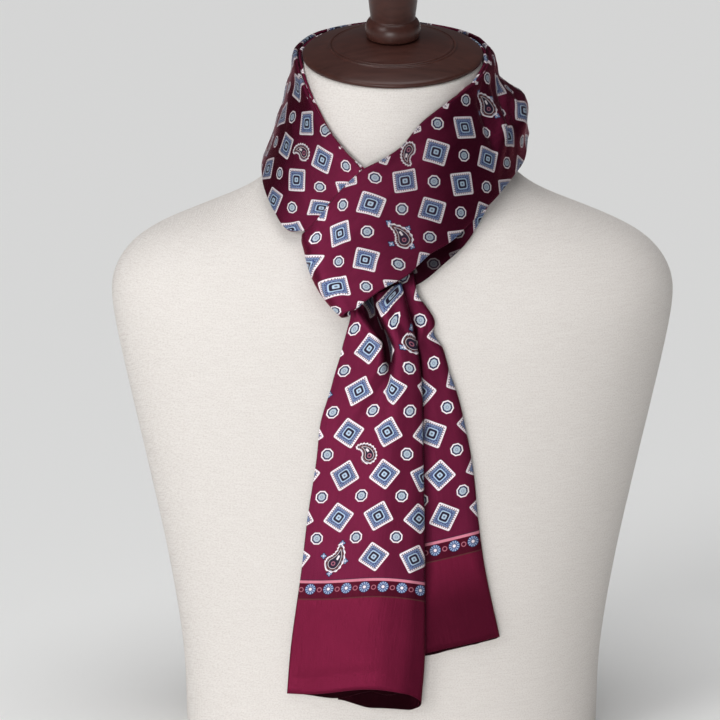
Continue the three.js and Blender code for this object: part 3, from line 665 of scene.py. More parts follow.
def tail(
    name, rows, *, front_width, drop, opening, taken_up, flatness, left_ridge, beside, painted_hem_shade, lie,
    material,
):
    """A tail: a flattened tube of silk folded at its right edge, with its layers open at the hem.

    front_width is the silk's width in the front half and drop how far the back half hangs below it.
    opening is how far the layers part at the hem, taken_up the silk hidden in the pleat, flatness how
    far the fold is pressed flat lower down and left_ridge the share of the ridge left of the pleat.
    beside holds the rows of the tail that lies on this one, for a painted shadow along its edge, and
    the argument after it is the painted shade at the hem.
    """
    left = through([(*row[0], row[2][0]) for row in rows], STEPS)
    right = through([(*row[1], row[2][1]) for row in rows], STEPS)
    stands = through([row[3] for row in rows], STEPS)
    pleats = through([row[4] for row in rows], STEPS)
    across_x = right[:, 0] - left[:, 0]
    across_z = right[:, 1] - left[:, 1]
    width = np.hypot(across_x, across_z)[:, None]
    middle_line = np.stack([left[:, 0] + right[:, 0], left[:, 1] + right[:, 1]], axis=1) / 2
    lengths = length_along(middle_line)
    below_top = lengths[:, None]
    above_hem = lengths[-1] - below_top
    near_hem = 1 - rise(above_hem, 0, NEAR_HEM)
    rest_left = left[:, 2:3]
    rest_right = right[:, 2:3]
    stand_left = stands[:, :1]
    stand_right = stands[:, 1:]
    depth, at, ridge, bow, pleat_left = (pleats[:, k, None] for k in range(5))

    between = LAYERS_APART + opening * (1 - rise(above_hem, 0, OPEN_LENGTH))
    radius = (stand_right - rest_right - PLY / 2) / 2
    round_reach = radius * (1 + flatness * rise(above_hem, *FLATTENED))
    fold_from = 1 - round_reach / width
    turn_length = np.pi * np.sqrt((round_reach ** 2 + radius ** 2) / 2)
    back_width = np.minimum(SCARF_WIDTH - front_width - turn_length, width * MOST_BACK)
    back_from = fold_from - back_width / width
    s = np.linspace(0, 1, TAIL_FRONT_STEPS + 1)[None]
    turns = np.pi * (np.arange(TAIL_FOLD_STEPS) + 1)[None] / (TAIL_FOLD_STEPS + 1)
    share = np.linspace(0, 1, TAIL_BACK_STEPS + 1)[None]
    reach = s * fold_from
    reach_back = fold_from - back_width / width * share

    def place(reach, stand, lower, bowed=1.0):
        x = left[:, :1] + across_x[:, None] * reach
        z = left[:, 1:2] + across_z[:, None] * reach + bowed * bow * hill(reach, *BOW) - lower
        return in_front(x, z, stand)

    def back_rest(reach):
        """How far what lies behind the tail stands off the form."""
        return rest_left + (rest_right - rest_left) * rise(reach, *REST_RISE)

    trough = depth * np.where(s < at, hill(s, at, pleat_left), hill(s, at, PLEAT_RIGHT))
    crest = hill(s, at + RIDGE_OFF, RIDGE_WIDTH)
    left_crest = hill(s, at - LEFT_RIDGE_OFF * pleat_left, LEFT_RIDGE_WIDTH)
    crest = ridge * (crest + left_ridge * left_crest)
    wave = WAVE * np.sin(reach * WAVE_TURNS[0] + above_hem * WAVE_TURNS[1]) * near_hem
    crease = hill(above_hem + HEM_SAG * (reach - 0.5) ** 2, *HEM_LINE)
    wave = wave - HEM_CREASE * crease * (1 - 0.5 * reach)
    ends = rise(s, 0, FREE_AT_LEFT) * (1 - hill(s, 1, FLAT_AT_FOLD))
    level = stand_left + (stand_right - stand_left) * rise(s, 0, RISES_UNTIL)
    front_stand = level + (crest - trough + wave) * ends
    least = back_rest(reach) + PLY + 2 * between + CLEAR_OF_BACK * depth
    least = least * rise(reach, back_from + OVER_BACK[0], back_from + OVER_BACK[1])
    front_stand = np.maximum(front_stand, least)
    steep = np.gradient(front_stand, axis=1) / (np.gradient(reach, axis=1) * width)
    thicker = np.minimum(np.sqrt(1 + steep ** 2), 2)

    def path(inset, sign):
        """The front half, the fold and the back half, all `inset` inside the tube."""
        parted = sum(far * hill(s, where, wide) for far, where, wide in HEM_PARTS)
        sag = sign * opening * parted * near_hem ** 3
        front = place(reach, front_stand - inset * thicker, sag)
        middle = (stand_right + rest_right + PLY / 2) / 2
        fold = place(
            fold_from + (round_reach - inset) / width * np.sin(turns),
            middle + (radius - inset) * np.cos(turns),
            drop * near_hem * rise(turns, 0, np.pi),
            1 - (1 - BACK_BOW) * rise(turns, 0, np.pi),
        )
        stand = back_rest(reach_back) + PLY / 2 + inset
        back = place(reach_back, stand, drop * near_hem * (1 - 0.7 * rise(share, 0.5, 1)), BACK_BOW)
        return np.concatenate([front, fold, back], axis=1)

    outer = path(0 * between, 0)
    inner = path(between, 1)
    widths = np.linalg.norm(np.diff(outer, axis=1), axis=2)
    u = np.concatenate([np.zeros((len(outer), 1)), np.cumsum(widths, axis=1)], axis=1)
    hidden = taken_up * depth / np.max(depth + 1e-6)
    reach_all = np.concatenate([s[0], np.ones(u.shape[1] - s.shape[1])])[None]
    u = u + hidden * rise(reach_all, at + TAKEN_UP_OVER[0], at + TAKEN_UP_OVER[1])
    if lie["from the fold"]:
        u = u - u[:, TAIL_FRONT_STEPS:TAIL_FRONT_STEPS + 1]
    loop = np.concatenate([outer, inner[:, ::-1]], axis=1)
    u_loop = np.concatenate([u, 2 * u[:, -1:] - u[:, ::-1] + 0.001], axis=1)

    # Painted shade on the front half: in the pleat, under the loop, towards the fold, at the hem and
    # beside the tail that lies on it.
    painted_shades = [
        rise(trough, *IN_PLEAT),
        LOOP_SHADE * rise(below_top, *UNDER_LOOP),
        FOLD_SHADE * rise(s, *FOLD_SHADED),
        painted_hem_shade * rise(above_hem, *PAINTED_HEM_SHADE_RISE),
    ]
    if beside:
        painted_shades.append(LOOP_SHADE * rise(off_edge(outer[:, :s.shape[1]], beside), *BESIDE_TAIL))
    in_front_half = functools.reduce(np.maximum, painted_shades)
    # Painted shade round the fold, on the back half and, full, on the inner wall.
    at_turn = TURN_SHADE + (1 - TURN_SHADE) * rise(turns, *TURN_SHADED)
    at_turn = at_turn * np.ones_like(above_hem)
    under = np.maximum(np.ones_like(share) * rise(above_hem, *UNDER_HEM), BACK_SHADE)
    inside = np.ones((len(u), inner.shape[1]))
    painted_shade = np.concatenate([in_front_half, at_turn, under, inside], axis=1)
    return tube_mesh(name, loop, u_loop, lengths[-1] - lengths, painted_shade, lie, material)


def tube_mesh(name, loop, across, up, painted_shade, lie, material):
    """Silk wall round a tube's sections, closed over its hem and over its hidden end."""
    count = loop.shape[1]
    tangent = np.roll(loop, -1, axis=1) - np.roll(loop, 1, axis=1)
    along = np.gradient(loop, axis=0)
    normal = unit(np.cross(along, tangent))
    half = SILK_THICKNESS / 2
    outer = loop + normal * half
    inner = loop - normal * half
    hem = loop[-1] + unit(loop[-1] - loop[-2]) * half
    top = loop[0] + unit(loop[0] - loop[1]) * half
    sheet = np.concatenate([outer, hem[None], inner[::-1], top[None]])
    up_all = np.concatenate([up, up[-1:], up[::-1], up[:1]])
    across_all = np.concatenate([across, across[-1:], across[::-1], across[:1]])
    closed = np.concatenate([across_all, across_all[:, -1:] + CLOSING], axis=1)
    total = len(sheet)
    row, column = grid_faces(total + 1, count + 1)
    faces = (row % total) * count + column % count
    u = closed[row % total, column]
    v = up_all[row % total]
    place = lie["across"] + lie["scale"] * u + lie["slant"] * v
    cloth = np.stack([place, lie["up"] + lie["stretch"] * v], axis=-1)
    # Painted shade on the rims over the hem and the hidden end, lighter than the inner wall, which is
    # fully shaded.
    edge = np.full_like(painted_shade[:1], EDGE_SHADE)
    all_painted_shade = np.concatenate([painted_shade, edge, np.ones_like(painted_shade), edge])
    return cloth_mesh(name, sheet.reshape(-1, 3), cloth, faces, all_painted_shade, material)


# ---------------------------------------------------------------- materials

# Places of the colours among a Mix node's inputs, and of the blended one among its outputs.
MIX_COLOURS = (6, 7)
MIX_RESULT = 2


class Reading:
    """A number that changes over the cloth, worked out by the nodes of one tree."""

    def __init__(self, tree, socket):
        self.tree = tree
        self.socket = socket

    def work(self, operation, *others):
        node = self.tree.nodes.new("ShaderNodeMath")
        node.operation = operation
        for slot, value in zip(node.inputs, (self, *others)):
            supply(self.tree, slot, value)
        return Reading(self.tree, node.outputs[0])

    def feed(self, slot):
        self.tree.links.new(self.socket, slot)

    def __add__(self, other):
        return self.work("ADD", other)

    def __sub__(self, other):
        return self.work("SUBTRACT", other)

    def __mul__(self, other):
        return self.work("MULTIPLY", other)

    def __truediv__(self, other):
        return self.work("DIVIDE", other)

    def __pow__(self, other):
        return self.work("POWER", other)

    def size(self):
        return self.work("ABSOLUTE")

    def below(self, edge, soft=0.0):
        """1 where it is below the edge, 0 above, over a soft step if one is given."""
        if not soft:
            return self.work("LESS_THAN", edge)
        node = self.tree.nodes.new("ShaderNodeMapRange")
        node.interpolation_type = "SMOOTHSTEP"
        self.feed(node.inputs["Value"])
        node.inputs["From Min"].default_value = edge - soft
        node.inputs["From Max"].default_value = edge + soft
        node.inputs["To Min"].default_value = 1
        node.inputs["To Max"].default_value = 0
        return Reading(self.tree, node.outputs["Result"])

    def above(self, edge, soft=0.0):
        return self.below(edge, soft).flipped()

    def flipped(self):
        return (self * -1) + 1

    def between(self, low, high, soft=0.0):
        return self.above(low, soft) * self.below(high, soft)

    def nearest(self):
        return self.work("ROUND")

    def floored(self):
        return self.work("FLOOR")

    def wrapped(self, span):
        return self.work("FLOORED_MODULO", span)

    def most(self, other):
        return self.work("MAXIMUM", other)

    def least(self, other):
        return self.work("MINIMUM", other)


def supply(tree, slot, value):
    """Joins a slot to a reading or an output, or gives it a plain number or colour."""
    if isinstance(value, Reading):
        value.feed(slot)
    elif isinstance(value, bpy.types.NodeSocket):
        tree.links.new(value, slot)
    elif isinstance(value, tuple):
        slot.default_value = (*value, 1)
    else:
        slot.default_value = value


def blend_colours(tree, first, second, share, way="MIX"):
    """The first colour where share is 0, with the second laid over it where share is 1."""
    node = tree.nodes.new("ShaderNodeMix")
    node.data_type = "RGBA"
    node.blend_type = way
    supply(tree, node.inputs["Factor"], share)
    supply(tree, node.inputs[MIX_COLOURS[0]], first)
    supply(tree, node.inputs[MIX_COLOURS[1]], second)
    return node.outputs[MIX_RESULT]


def parts_of(tree, place):
    """The three coordinates of a place."""
    node = tree.nodes.new("ShaderNodeSeparateXYZ")
    tree.links.new(place, node.inputs[0])
    return [Reading(tree, output) for output in node.outputs]


def distance_of(x, y):
    return (x * x + y * y) ** 0.5


def turned_by(x, y, degrees, way):
    """Coordinates turned by an angle whose way round is 1 or -1."""
    c = math.cos(math.radians(degrees))
    s = math.sin(math.radians(degrees))
    return x * c + y * way * s, y * c - x * way * s


def shared_group(name, inputs, outputs):
    """A node group with named inputs, each with its kind and start value, and named outputs."""
    tree = bpy.data.node_groups.new(name, "ShaderNodeTree")
    for label, kind, value in inputs:
        socket = tree.interface.new_socket(label, in_out="INPUT", socket_type=kind)
        if value is not None:
            socket.default_value = value
    for label, kind in outputs:
        tree.interface.new_socket(label, in_out="OUTPUT", socket_type=kind)
    entry = tree.nodes.new("NodeGroupInput")
    leave = tree.nodes.new("NodeGroupOutput")
    return tree, entry, leave


class Print:
    """Colours printed over each other, each laid on where its mask shows it."""

    def __init__(self, tree, tones):
        self.tree = tree
        self.tones = tones
        self.colour = tones["Ground"]

    def lay(self, tone, mask):
        self.colour = blend_colours(self.tree, self.colour, self.tones[tone], mask)


# The motifs: sizes in millimetres from the middle of each, and how soft each edge is.

def paint_square(cloth, x, y, way, shown):
    """A square with a cream corded frame and a blue middle, standing on its corner."""
    p, q = turned_by((x + y) * DIAGONAL, (y - x) * DIAGONAL, TURN_OF_SQUARES, way)
    p_size = p.size()
    q_size = q.size()
    reach = ((p_size / 8) ** 14 + (q_size / 8) ** 14) ** (1 / 14) * 8
    side = p_size.above(q_size)
    run = q * side + p * side.flipped()
    cloth.lay("Cream", reach.below(8.15, 0.14) * shown)
    ticks = run.wrapped(1.55).below(0.5, 0.1)
    cloth.lay("Navy", reach.between(6.5, 7.3, 0.12) * ticks * shown)
    cloth.lay("Navy", reach.between(6.1, 6.45, 0.12) * 0.9 * shown)
    cloth.lay("Blue", reach.below(6.1, 0.14) * shown)
    specks = (run * 4.2).work("SINE") * (reach * 7.4).work("SINE")
    cloth.lay("Pale blue", specks.above(0.15, 0.25) * reach.between(4.4, 5.9, 0.1) * 0.75 * shown)
    cloth.lay("Navy", reach.between(4.5, 5.0, 0.12) * run.wrapped(1.9).below(1.3, 0.1) * 0.85 * shown)
    middle = ((p_size / 3) ** 5 + (q_size / 3) ** 5) ** 0.2 * 3
    cloth.lay("Pale blue", middle.between(3.1, 3.95, 0.14) * shown)
    cloth.lay("Navy", middle.between(1.7, 3.2, 0.12) * shown)
    cloth.lay("Pale blue", middle.below(1.7, 0.12) * shown)
    dot = distance_of(p, q)
    cloth.lay("Navy", dot.below(0.75, 0.15) * 0.75 * shown)


def paint_ring(cloth, x, y, shown):
    """A small eight sided cream ring with a dark ground and a pale middle."""
    x_size = x.size()
    y_size = y.size()
    reach = x_size.most(y_size).most((x_size + y_size) * DIAGONAL)
    around = (y.work("ARCTAN2", x) * 12).work("SINE")
    cloth.lay("Cream", reach.below(4.35, 0.12) * shown)
    cloth.lay("Navy", reach.below(3.45, 0.12) * shown)
    cloth.lay("Blue", reach.between(2.5, 3.1, 0.1) * around.above(0, 0.3) * 0.7 * shown)
    cloth.lay("Ring middle", reach.below(2.4, 0.14) * shown)
    cloth.lay("Blue", reach.between(0.55, 1.1, 0.14) * 0.55 * shown)


def paint_flower(cloth, x, y, shown):
    """A little flower of four petals round a pale eye."""
    reach = distance_of(x, y)
    petals = (y.work("ARCTAN2", x) * 4).work("COSINE")
    edge = reach - petals * 0.42
    cloth.lay("Navy", edge.below(2.2, 0.12) * shown)
    cloth.lay("Blue", edge.below(1.75, 0.14) * shown)
    cloth.lay("Pale blue", edge.between(0.85, 1.3, 0.14) * shown * 0.9)
    cloth.lay("Cream", reach.below(0.55, 0.14) * shown * 0.9)


def paint_paisley(cloth, x, y, shape, shown):
    """A curled drop from its round head to its thin tip, of the shape that its sizes give."""
    bend, start, sweep, head, tip = shape
    start = math.radians(start)
    sweep = math.radians(sweep)
    angle = y.work("ARCTAN2", x)
    along = ((angle - start) / sweep).most(0).least(1)
    at = along * sweep + start
    off = distance_of(x - at.work("COSINE") * bend, y - at.work("SINE") * bend)
    breadth = (along ** 1.25).flipped() * (head - tip) + tip
    inside = breadth - off
    turn = (off.work("ARCTAN2", along * 3 + 0.4) * 6 + angle * 34).work("SINE")
    in_head = distance_of(x - math.cos(start) * bend, y - math.sin(start) * bend)
    comma = off.below(0.75, 0.2) * along.between(0.26, 0.5, 0.03)
    cloth.lay("Cream", (inside + turn * 0.35).above(-0.3, 0.12) * shown)
    cloth.lay("Navy", inside.above(0.6, 0.12) * shown)
    cloth.lay("Rust", inside.between(0.9, 2.3, 0.2) * shown)
    cloth.lay("Pale blue", inside.between(0.7, 1.3, 0.12) * turn.above(0, 0.3) * 0.6 * shown)
    cloth.lay("Cream", inside.between(2.3, 2.75, 0.12) * 0.7 * shown)
    cloth.lay("Navy", inside.above(2.75, 0.12) * shown)
    cloth.lay("Pink", in_head.between(0.9, 1.6, 0.14) * 0.6 * shown)
    cloth.lay("Cream", comma * shown)


def paint_squares(cloth, a, b):
    """Rows of squares, each turned the other way from the next, with large paisleys here and there."""
    column = a.nearest()
    row = b.nearest()
    x = (a - column) * SQUARE_PITCH[0]
    y = (b - row) * SQUARE_PITCH[1]
    way = (column + row).wrapped(2).above(0.5) * 2 - 1
    in_field = row.above(-0.5)
    is_large = (column * 4 + row + 0.5).wrapped(PAISLEY_EVERY).below(1)
    paint_square(cloth, x, y, way, in_field * is_large.flipped())
    large = in_field * is_large
    lean = row.wrapped(2).above(0.5) * -2 + 1
    px, py = turned_by(x, y, 35, lean)
    px, py = turned_by(px, py, 35, -1)
    for flower_x, flower_y in FLOWERS:
        paint_flower(cloth, px - flower_x, py - flower_y, large)
    paint_paisley(cloth, px + 8.9, py - 6.4, LARGE_PAISLEY, large)


def paint_rings(cloth, a, b):
    """Rings in the gaps between the squares, with small paisleys here and there."""
    column = a.floored()
    row = b.floored()
    x = (a - column - 0.5) * SQUARE_PITCH[0]
    y = (b - row - 0.5) * SQUARE_PITCH[1]
    in_field = row.above(-0.5)
    is_small = (column * 4 + row + 0.5).wrapped(PAISLEY_EVERY).between(2, 3)
    paint_ring(cloth, x, y, in_field * is_small.flipped())
    sx, sy = turned_by(x, y, 70, 1)
    paint_paisley(cloth, sx + 4.6, sy - 4.4, SMALL_PAISLEY, in_field * is_small)


def paint_border(cloth, across, up):
    """The dark border with rosettes and beads along it, its pink line, and the plain band below."""
    cloth.lay("Border", up.below(BORDER_TOP, 0.1))
    cloth.lay("Navy", up.between(PINK_LINE[1], PINK_LINE[1] + 0.7, 0.15) * 0.6)
    phased = across + ROSETTE_PHASE
    rosette = (phased / ROSETTE_PITCH).nearest()
    rx = phased - rosette * ROSETTE_PITCH
    ry = up - ROSETTES_AT
    reach = distance_of(rx, ry)
    spokes = (ry.work("ARCTAN2", rx) * 12).work("SINE")
    cloth.lay("Navy", reach.below(4.15, 0.12))
    cloth.lay("Blue", reach.below(3.8, 0.14))
    cloth.lay("Pale blue", reach.between(1.5, 3.7, 0.1) * spokes.above(0.1, 0.3) * 0.75)
    cloth.lay("Navy", reach.between(1.3, 1.8, 0.15) * 0.55)
    cloth.lay("Cream", reach.below(1.15, 0.2))
    gap = (phased / ROSETTE_PITCH).floored()
    bead = distance_of(phased - (gap + 0.5) * ROSETTE_PITCH, up - BEADS_AT)
    cloth.lay("Pink", bead.between(1.2, 1.85, 0.15) * 0.55)
    cloth.lay("Pink", up.between(*PINK_LINE, 0.15))
    cloth.lay("Rust", up.between(END_BAND_TOP, END_BAND_TOP + 0.9, 0.2) * 0.9)
    cloth.lay("End band", up.below(END_BAND_TOP, 0.1))


def foulard_print():
    """The printed colours, from a place on the scarf in metres: across it, and up from its hem."""
    tree, entry, leave = shared_group(
        "foulard print",
        [("Cloth", "NodeSocketVector", None)]
        + [(label, "NodeSocketColor", (*tone, 1)) for label, tone in FOULARD_TONES],
        [("Colour", "NodeSocketColor"), ("Crimson", "NodeSocketFloat")],
    )
    cloth = Print(tree, {label: entry.outputs[label] for label, _tone in FOULARD_TONES})
    x, y, _z = parts_of(tree, entry.outputs["Cloth"])
    across = x / MM
    up = y / MM
    a = across / SQUARE_PITCH[0]
    b = (up - LAST_SQUARES) / SQUARE_PITCH[1]
    paint_squares(cloth, a, b)
    paint_rings(cloth, a, b)
    paint_border(cloth, across, up)
    tree.links.new(cloth.colour, leave.inputs["Colour"])
    split = tree.nodes.new("ShaderNodeSeparateColor")
    tree.links.new(cloth.colour, split.inputs[0])
    red = Reading(tree, split.outputs["Red"])
    green = Reading(tree, split.outputs["Green"])
    (red - green * 4).above(0.02, 0.015).feed(leave.inputs["Crimson"])
    return tree


def woven_threads():
    """Height and tone of threads that cross each other over and under, from a place in metres; the tone
    is uneven and has painted shade where the threads dip.
    """
    tree, entry, leave = shared_group(
        "woven threads",
        [
            ("Place", "NodeSocketVector", None),
            ("Thread", "NodeSocketFloat", 0.5),
            ("Slant", "NodeSocketFloat", 0.0),
            ("Unevenness", "NodeSocketFloat", 0.3),
        ],
        [("Height", "NodeSocketFloat"), ("Uneven tone and painted weave shade", "NodeSocketFloat")],
    )
    x, y, _z = parts_of(tree, entry.outputs["Place"])
    thread = Reading(tree, entry.outputs["Thread"]) * MM
    across = x / thread
    up = y / thread
    slubs = tree.nodes.new("ShaderNodeTexNoise")
    slubs.inputs["Scale"].default_value = 900
    slubs.inputs["Detail"].default_value = 2
    tree.links.new(entry.outputs["Place"], slubs.inputs["Vector"])
    uneven = (Reading(tree, slubs.outputs["Fac"]) - 0.5) * Reading(tree, entry.outputs["Unevenness"])
    warp = ((across + up * Reading(tree, entry.outputs["Slant"]) + uneven) * math.pi).work("SINE")
    weft = ((up + uneven) * math.pi).work("SINE")
    over = (across.floored() + up.floored()).wrapped(2).above(0.5)
    height = warp.size() * over + weft.size() * over.flipped()
    height.feed(leave.inputs["Height"])
    # Painted shade in the dips between threads, with their uneven tone.
    tone = height * 0.6 + uneven * 1.4 + 0.4
    tone.most(0).least(1).feed(leave.inputs["Uneven tone and painted weave shade"])
    return tree


def add_group(tree, group, **values):
    node = tree.nodes.new("ShaderNodeGroup")
    node.node_tree = group
    for label, value in values.items():
        node.inputs[label].default_value = value
    return node


def add_bump(tree, height, distance, strength):
    """Lets fine relief of this height, in metres, catch the light on the tree's surface."""
    bump = tree.nodes.new("ShaderNodeBump")
    bump.inputs["Strength"].default_value = strength
    bump.inputs["Distance"].default_value = distance
    height.feed(bump.inputs["Height"])
    tree.links.new(bump.outputs["Normal"], tree.nodes["Principled BSDF"].inputs["Normal"])


def add_noise(tree, place, stretch, scale, detail=2.0):
    """Cloudy variation, stretched along the axes."""
    mapping = tree.nodes.new("ShaderNodeMapping")
    mapping.inputs["Scale"].default_value = stretch
    tree.links.new(place, mapping.inputs["Vector"])
    noise = tree.nodes.new("ShaderNodeTexNoise")
    noise.inputs["Scale"].default_value = scale
    noise.inputs["Detail"].default_value = detail
    tree.links.new(mapping.outputs[0], noise.inputs["Vector"])
    return Reading(tree, noise.outputs["Fac"])


def new_material(name, finish):
    """A material, its nodes and its surface, which has the finish that is the same all over."""
    material = bpy.data.materials.new(name)
    material.use_nodes = True
    tree = material.node_tree
    surface = tree.nodes["Principled BSDF"]
    for label, value in finish.items():
        surface.inputs[label].default_value = value
    return material, tree, surface


def finish_in(piece, material):
    """Gives a piece one finish all over."""
    piece.data.materials.clear()
    piece.data.materials.append(material)


def silk_material(printed_colours, threads):
    """Printed silk twill: soft satin shine, fine slanting threads, faint streaks along it, and painted
    shade that darkens its colour.
    """
    material, tree, surface = new_material("printed silk twill", {
        "Specular IOR Level": 0.34,
        "Specular Tint": (0.62, 0.3, 0.36, 1),
        "Sheen Weight": 0.1,
        "Sheen Roughness": 0.3,
        "Sheen Tint": (1.0, 0.45, 0.58, 1),
    })
    place = tree.nodes.new("ShaderNodeUVMap")
    place.uv_map = "scarf"
    printed = add_group(tree, printed_colours)
    tree.links.new(place.outputs[0], printed.inputs["Cloth"])
    weave = add_group(tree, threads, Thread=0.34, Slant=1.0, Unevenness=0.5)
    tree.links.new(place.outputs[0], weave.inputs["Place"])
    streaks = add_noise(tree, place.outputs[0], (9, 0.8, 1), 60)
    clouds = add_noise(tree, place.outputs[0], (1, 1, 1), 35)
    # Painted shade from each piece darkens the printed colour, along with the streaks, clouds and the
    # threads' tone.
    depth = tree.nodes.new("ShaderNodeAttribute")
    depth.attribute_name = "painted_shade"
    painted_shade_factor = Reading(tree, depth.outputs["Fac"]) * -DARKEST_PAINTED_SHADE + 1
    shade = streaks * 0.22 + clouds * 0.3 + Reading(tree, weave.outputs["Uneven tone and painted weave shade"]) * 0.16 + 0.66
    shade = shade * painted_shade_factor
    grey = tree.nodes.new("ShaderNodeCombineColor")
    for slot in grey.inputs[:3]:
        shade.feed(slot)
    shaded = blend_colours(tree, printed.outputs["Colour"], grey.outputs[0], 1, "MULTIPLY")
    tree.links.new(shaded, surface.inputs["Base Color"])
    (streaks * 0.12 + 0.3).feed(surface.inputs["Roughness"])
    (Reading(tree, printed.outputs["Crimson"]) * SATIN).feed(surface.inputs["Metallic"])
    height = Reading(tree, weave.outputs["Height"]) * 0.3 + streaks + clouds
    add_bump(tree, height, 0.00022, 0.8)
    return material


def linen_material(threads):
    """Cream linen: round, slightly uneven threads, with painted shade between them."""
    material, tree, surface = new_material("cream linen", {"Roughness": 0.9, "Specular IOR Level": 0.2})
    where = tree.nodes.new("ShaderNodeTexCoord")
    x, y, z = parts_of(tree, where.outputs["Object"])
    place = tree.nodes.new("ShaderNodeCombineXYZ")
    (x + y * 0.35).feed(place.inputs[0])
    (z + y * 0.3).feed(place.inputs[1])
    weave = add_group(tree, threads, Thread=0.62, Slant=0.0, Unevenness=1.3)
    tree.links.new(place.outputs[0], weave.inputs["Place"])
    slubs = add_noise(tree, where.outputs["Object"], (1, 1, 14), 90, 3)
    # Painted shade between the threads, with the threads' uneven tone and slubs, sets the cream's tone.
    tone = Reading(tree, weave.outputs["Uneven tone and painted weave shade"]) * 0.7 + slubs * 0.5
    colour = blend_colours(tree, (0.62, 0.56, 0.52), (0.86, 0.82, 0.78), tone.least(1))
    tree.links.new(colour, surface.inputs["Base Color"])
    add_bump(tree, Reading(tree, weave.outputs["Height"]) + slubs * 0.6, 0.00025, 0.7)
    return material


def wood_material():
    """Dark polished wood with a fine grain."""
    material, tree, surface = new_material("dark polished wood", {"Specular IOR Level": 0.3})
    where = tree.nodes.new("ShaderNodeTexCoord")
    grain = add_noise(tree, where.outputs["Object"], (1, 9, 9), 38, 5)
    clouds = add_noise(tree, where.outputs["Object"], (1, 2.5, 2.5), 14, 2)
    tone = grain * 0.9 + clouds * 0.7 - 0.3
    colour = blend_colours(tree, (0.026, 0.009, 0.007), (0.078, 0.027, 0.020), tone.most(0).least(1))
    tree.links.new(colour, surface.inputs["Base Color"])
    (grain * 0.16 + 0.27).feed(surface.inputs["Roughness"])
    add_bump(tree, grain, 0.0001, 0.5)
    return material


# ---------------------------------------------------------------- stage

def place_camera():
    data = bpy.data.cameras.new("camera")
    data.lens = LENS
    data.sensor_width = SENSOR
    data.clip_start = 0.05
    data.clip_end = 40
    camera = bpy.data.objects.new("camera", data)
    tilt = math.radians(TILT)
    back = Vector((0, -math.cos(tilt), math.sin(tilt)))
    camera.location = Vector(AIM) + back * DISTANCE
    camera.rotation_euler = (-back).to_track_quat("-Z", "Y").to_euler()
    bpy.context.scene.collection.objects.link(camera)
    bpy.context.scene.camera = camera


def add_light(name, data, power, way):
    """Puts a light on the stage, shining the way that is given."""
    data.energy = power
    light = bpy.data.objects.new(name, data)
    light.rotation_euler = Vector(way).to_track_quat("-Z", "Y").to_euler()
    bpy.context.scene.collection.objects.link(light)
    return light


def soft_light(name, place, aim, size, power):
    """A broad lamp that lights what it is aimed at."""
    data = bpy.data.lights.new(name, "AREA")
    data.shape = "RECTANGLE"
    data.size, data.size_y = size
    light = add_light(name, data, power, Vector(aim) - Vector(place))
    light.location = place


def even_light(name, way, spread, power):
    """A light that falls evenly over everything, from very far away."""
    data = bpy.data.lights.new(name, "SUN")
    data.angle = math.radians(spread)
    add_light(name, data, power, way)


def pale_floor():
    bpy.ops.object.select_all(action="DESELECT")
    bpy.ops.mesh.primitive_plane_add(size=FLOOR, location=(0, 0, 0))
    floor = bpy.context.object
    floor.name = "floor"
    material, _tree, _surface = new_material(
        "pale floor", {"Base Color": (0.88, 0.88, 0.87, 1), "Roughness": 0.95}
    )
    finish_in(floor, material)


def pale_surroundings():
    world = bpy.data.worlds.new("studio")
    world.use_nodes = True
    background = world.node_tree.nodes["Background"]
    background.inputs["Color"].default_value = (0.93, 0.95, 1.0, 1)
    background.inputs["Strength"].default_value = 0.1
    bpy.context.scene.world = world


# ---------------------------------------------------------------- dress form, cap and knob

def smooth_form(material):
    """The dress form with its facets rounded off."""
    node = bpy.data.objects["dress_form"]
    bpy.ops.object.select_all(action="DESELECT")
    form = bpy.data.objects.new("linen_form", node.data.copy())
    bpy.context.scene.collection.objects.link(form)
    form.select_set(True)
    bpy.context.view_layer.objects.active = form
    bpy.ops.object.mode_set(mode="EDIT")
    bpy.ops.mesh.select_mode(type="EDGE")
    bpy.ops.mesh.select_all(action="SELECT")
    bpy.ops.mesh.remove_doubles(threshold=0.01 * MM)
    bpy.ops.mesh.tris_convert_to_quads(face_threshold=math.radians(JOINED), shape_threshold=math.pi)
    bpy.ops.mesh.select_all(action="DESELECT")
    bpy.ops.mesh.edges_select_sharp(sharpness=math.radians(SHARP))
    bpy.ops.transform.edge_crease(value=1)
    bpy.ops.object.mode_set(mode="OBJECT")
    rounding = form.modifiers.new("rounding", "SUBSURF")
    rounding.levels = 2
    rounding.render_levels = 2
    bpy.ops.object.modifier_apply(modifier=rounding.name)
    bpy.ops.object.shade_smooth_by_angle(angle=math.radians(SMOOTH))
    finish_in(form, material)
    return form


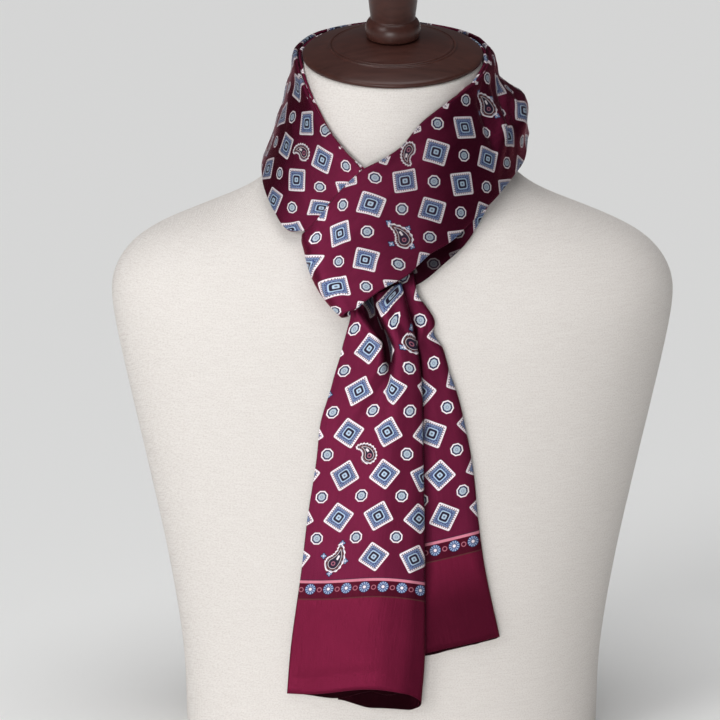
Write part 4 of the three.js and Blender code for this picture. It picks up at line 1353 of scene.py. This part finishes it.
def turned(name, outline, stands, material):
    """A round piece, drawn up ring by ring from its foot and set on the neck."""
    rings = through(outline, OUTLINE_STEPS)
    bpy.ops.object.select_all(action="DESELECT")
    bpy.ops.mesh.primitive_circle_add(vertices=SIDES, radius=rings[0][0] * MM, fill_type="NGON")
    piece = bpy.context.object
    piece.name = name
    bpy.ops.object.mode_set(mode="EDIT")
    bpy.ops.mesh.select_mode(type="FACE")
    bpy.ops.mesh.select_all(action="SELECT")
    for (below, low), (radius, height) in zip(rings[:-1], rings[1:]):
        bpy.ops.mesh.extrude_region_move(TRANSFORM_OT_translate={"value": (0, 0, (height - low) * MM)})
        ratio = radius / below
        bpy.ops.transform.resize(value=(ratio, ratio, 1), center_override=(0, 0, height * MM))
    bpy.ops.mesh.select_all(action="SELECT")
    bpy.ops.mesh.normals_make_consistent(inside=False)
    bpy.ops.object.mode_set(mode="OBJECT")
    lean = math.radians(NECK_LEAN)
    piece.location = (0, -math.sin(lean) * stands * MM, (NECK_TOP + math.cos(lean) * stands) * MM)
    piece.rotation_euler = (lean, 0, 0)
    bpy.ops.object.transform_apply(location=True, rotation=True, scale=True)
    bpy.ops.object.shade_smooth_by_angle(angle=math.radians(TURNED_SMOOTH))
    finish_in(piece, material)
    return piece


# ---------------------------------------------------------------- the model

place_camera()
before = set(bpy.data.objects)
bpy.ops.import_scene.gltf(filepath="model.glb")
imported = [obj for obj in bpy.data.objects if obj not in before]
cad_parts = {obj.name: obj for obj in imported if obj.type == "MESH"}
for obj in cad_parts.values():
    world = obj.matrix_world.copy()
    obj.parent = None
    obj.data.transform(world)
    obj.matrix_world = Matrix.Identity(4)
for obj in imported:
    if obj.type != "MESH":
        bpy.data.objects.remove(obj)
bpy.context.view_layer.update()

threads = woven_threads()
linen = linen_material(threads)
wood = wood_material()
silk = silk_material(foulard_print(), threads)

outer_rows = LEFT_OUTER[::-1] + GIRDLE + OVER + turn_rows()
outer_strand = strand("scarf_outer_strand", outer_rows, len(LEFT_OUTER), False, OUTER_PAINTED_SHADE, silk)
inner_rows = UNDER + moved_in(GIRDLE)[::-1] + LEFT_INNER
inner_strand = strand("scarf_inner_strand", inner_rows, len(LEFT_INNER), True, INNER_PAINTED_SHADE, silk)
front_tail = tail(
    "scarf_front_tail",
    TAIL_FRONT,
    front_width=88,
    drop=9,
    opening=1.2,
    taken_up=23,
    flatness=1.3,
    left_ridge=0.8,
    beside=None,
    painted_hem_shade=0,
    lie=FRONT_LIE,
    material=silk,
)
back_tail = tail(
    "scarf_back_tail",
    TAIL_BACK,
    front_width=80,
    drop=2,
    opening=0.6,
    taken_up=4,
    flatness=0.5,
    left_ridge=0,
    beside=TAIL_FRONT,
    painted_hem_shade=0.5,
    lie=BACK_LIE,
    material=silk,
)
form = smooth_form(linen)
cap = turned("turned_cap", CAP_OUTLINE, CAP_STANDS, wood)
knob = turned("turned_knob", KNOB_OUTLINE, KNOB_STANDS, wood)

STANDS_FOR = [
    (outer_strand, "silk", ["strand_left_outer", "strand_back_outer", "loop_over"]),
    (inner_strand, "silk", ["loop_under", "strand_back_inner", "strand_left_inner"]),
    (front_tail, "silk", ["tail_front"]),
    (back_tail, "silk", ["tail_back"]),
    (form, "linen", ["dress_form"]),
    (cap, "wood", ["neck_cap"]),
    (knob, "wood", ["neck_knob"]),
]
for piece, slot, nodes in STANDS_FOR:
    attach(piece, "root")
    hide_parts(*nodes)
for name, material in (("dress_form", linen), ("neck_cap", wood), ("neck_knob", wood)):
    finish_in(bpy.data.objects[name], material)

pale_floor()
pale_surroundings()
even_light("key light", way=(0.95, 0.9, -0.7), spread=24, power=0.95)
even_light("overhead light", way=(0, 0.15, -1), spread=50, power=1.7)
soft_light("front light", place=(-0.6, -2.6, 0.26), aim=(0, 0, 0.2), size=(1.3, 0.5), power=27)
bpy.context.scene.view_settings.view_transform = "Standard"
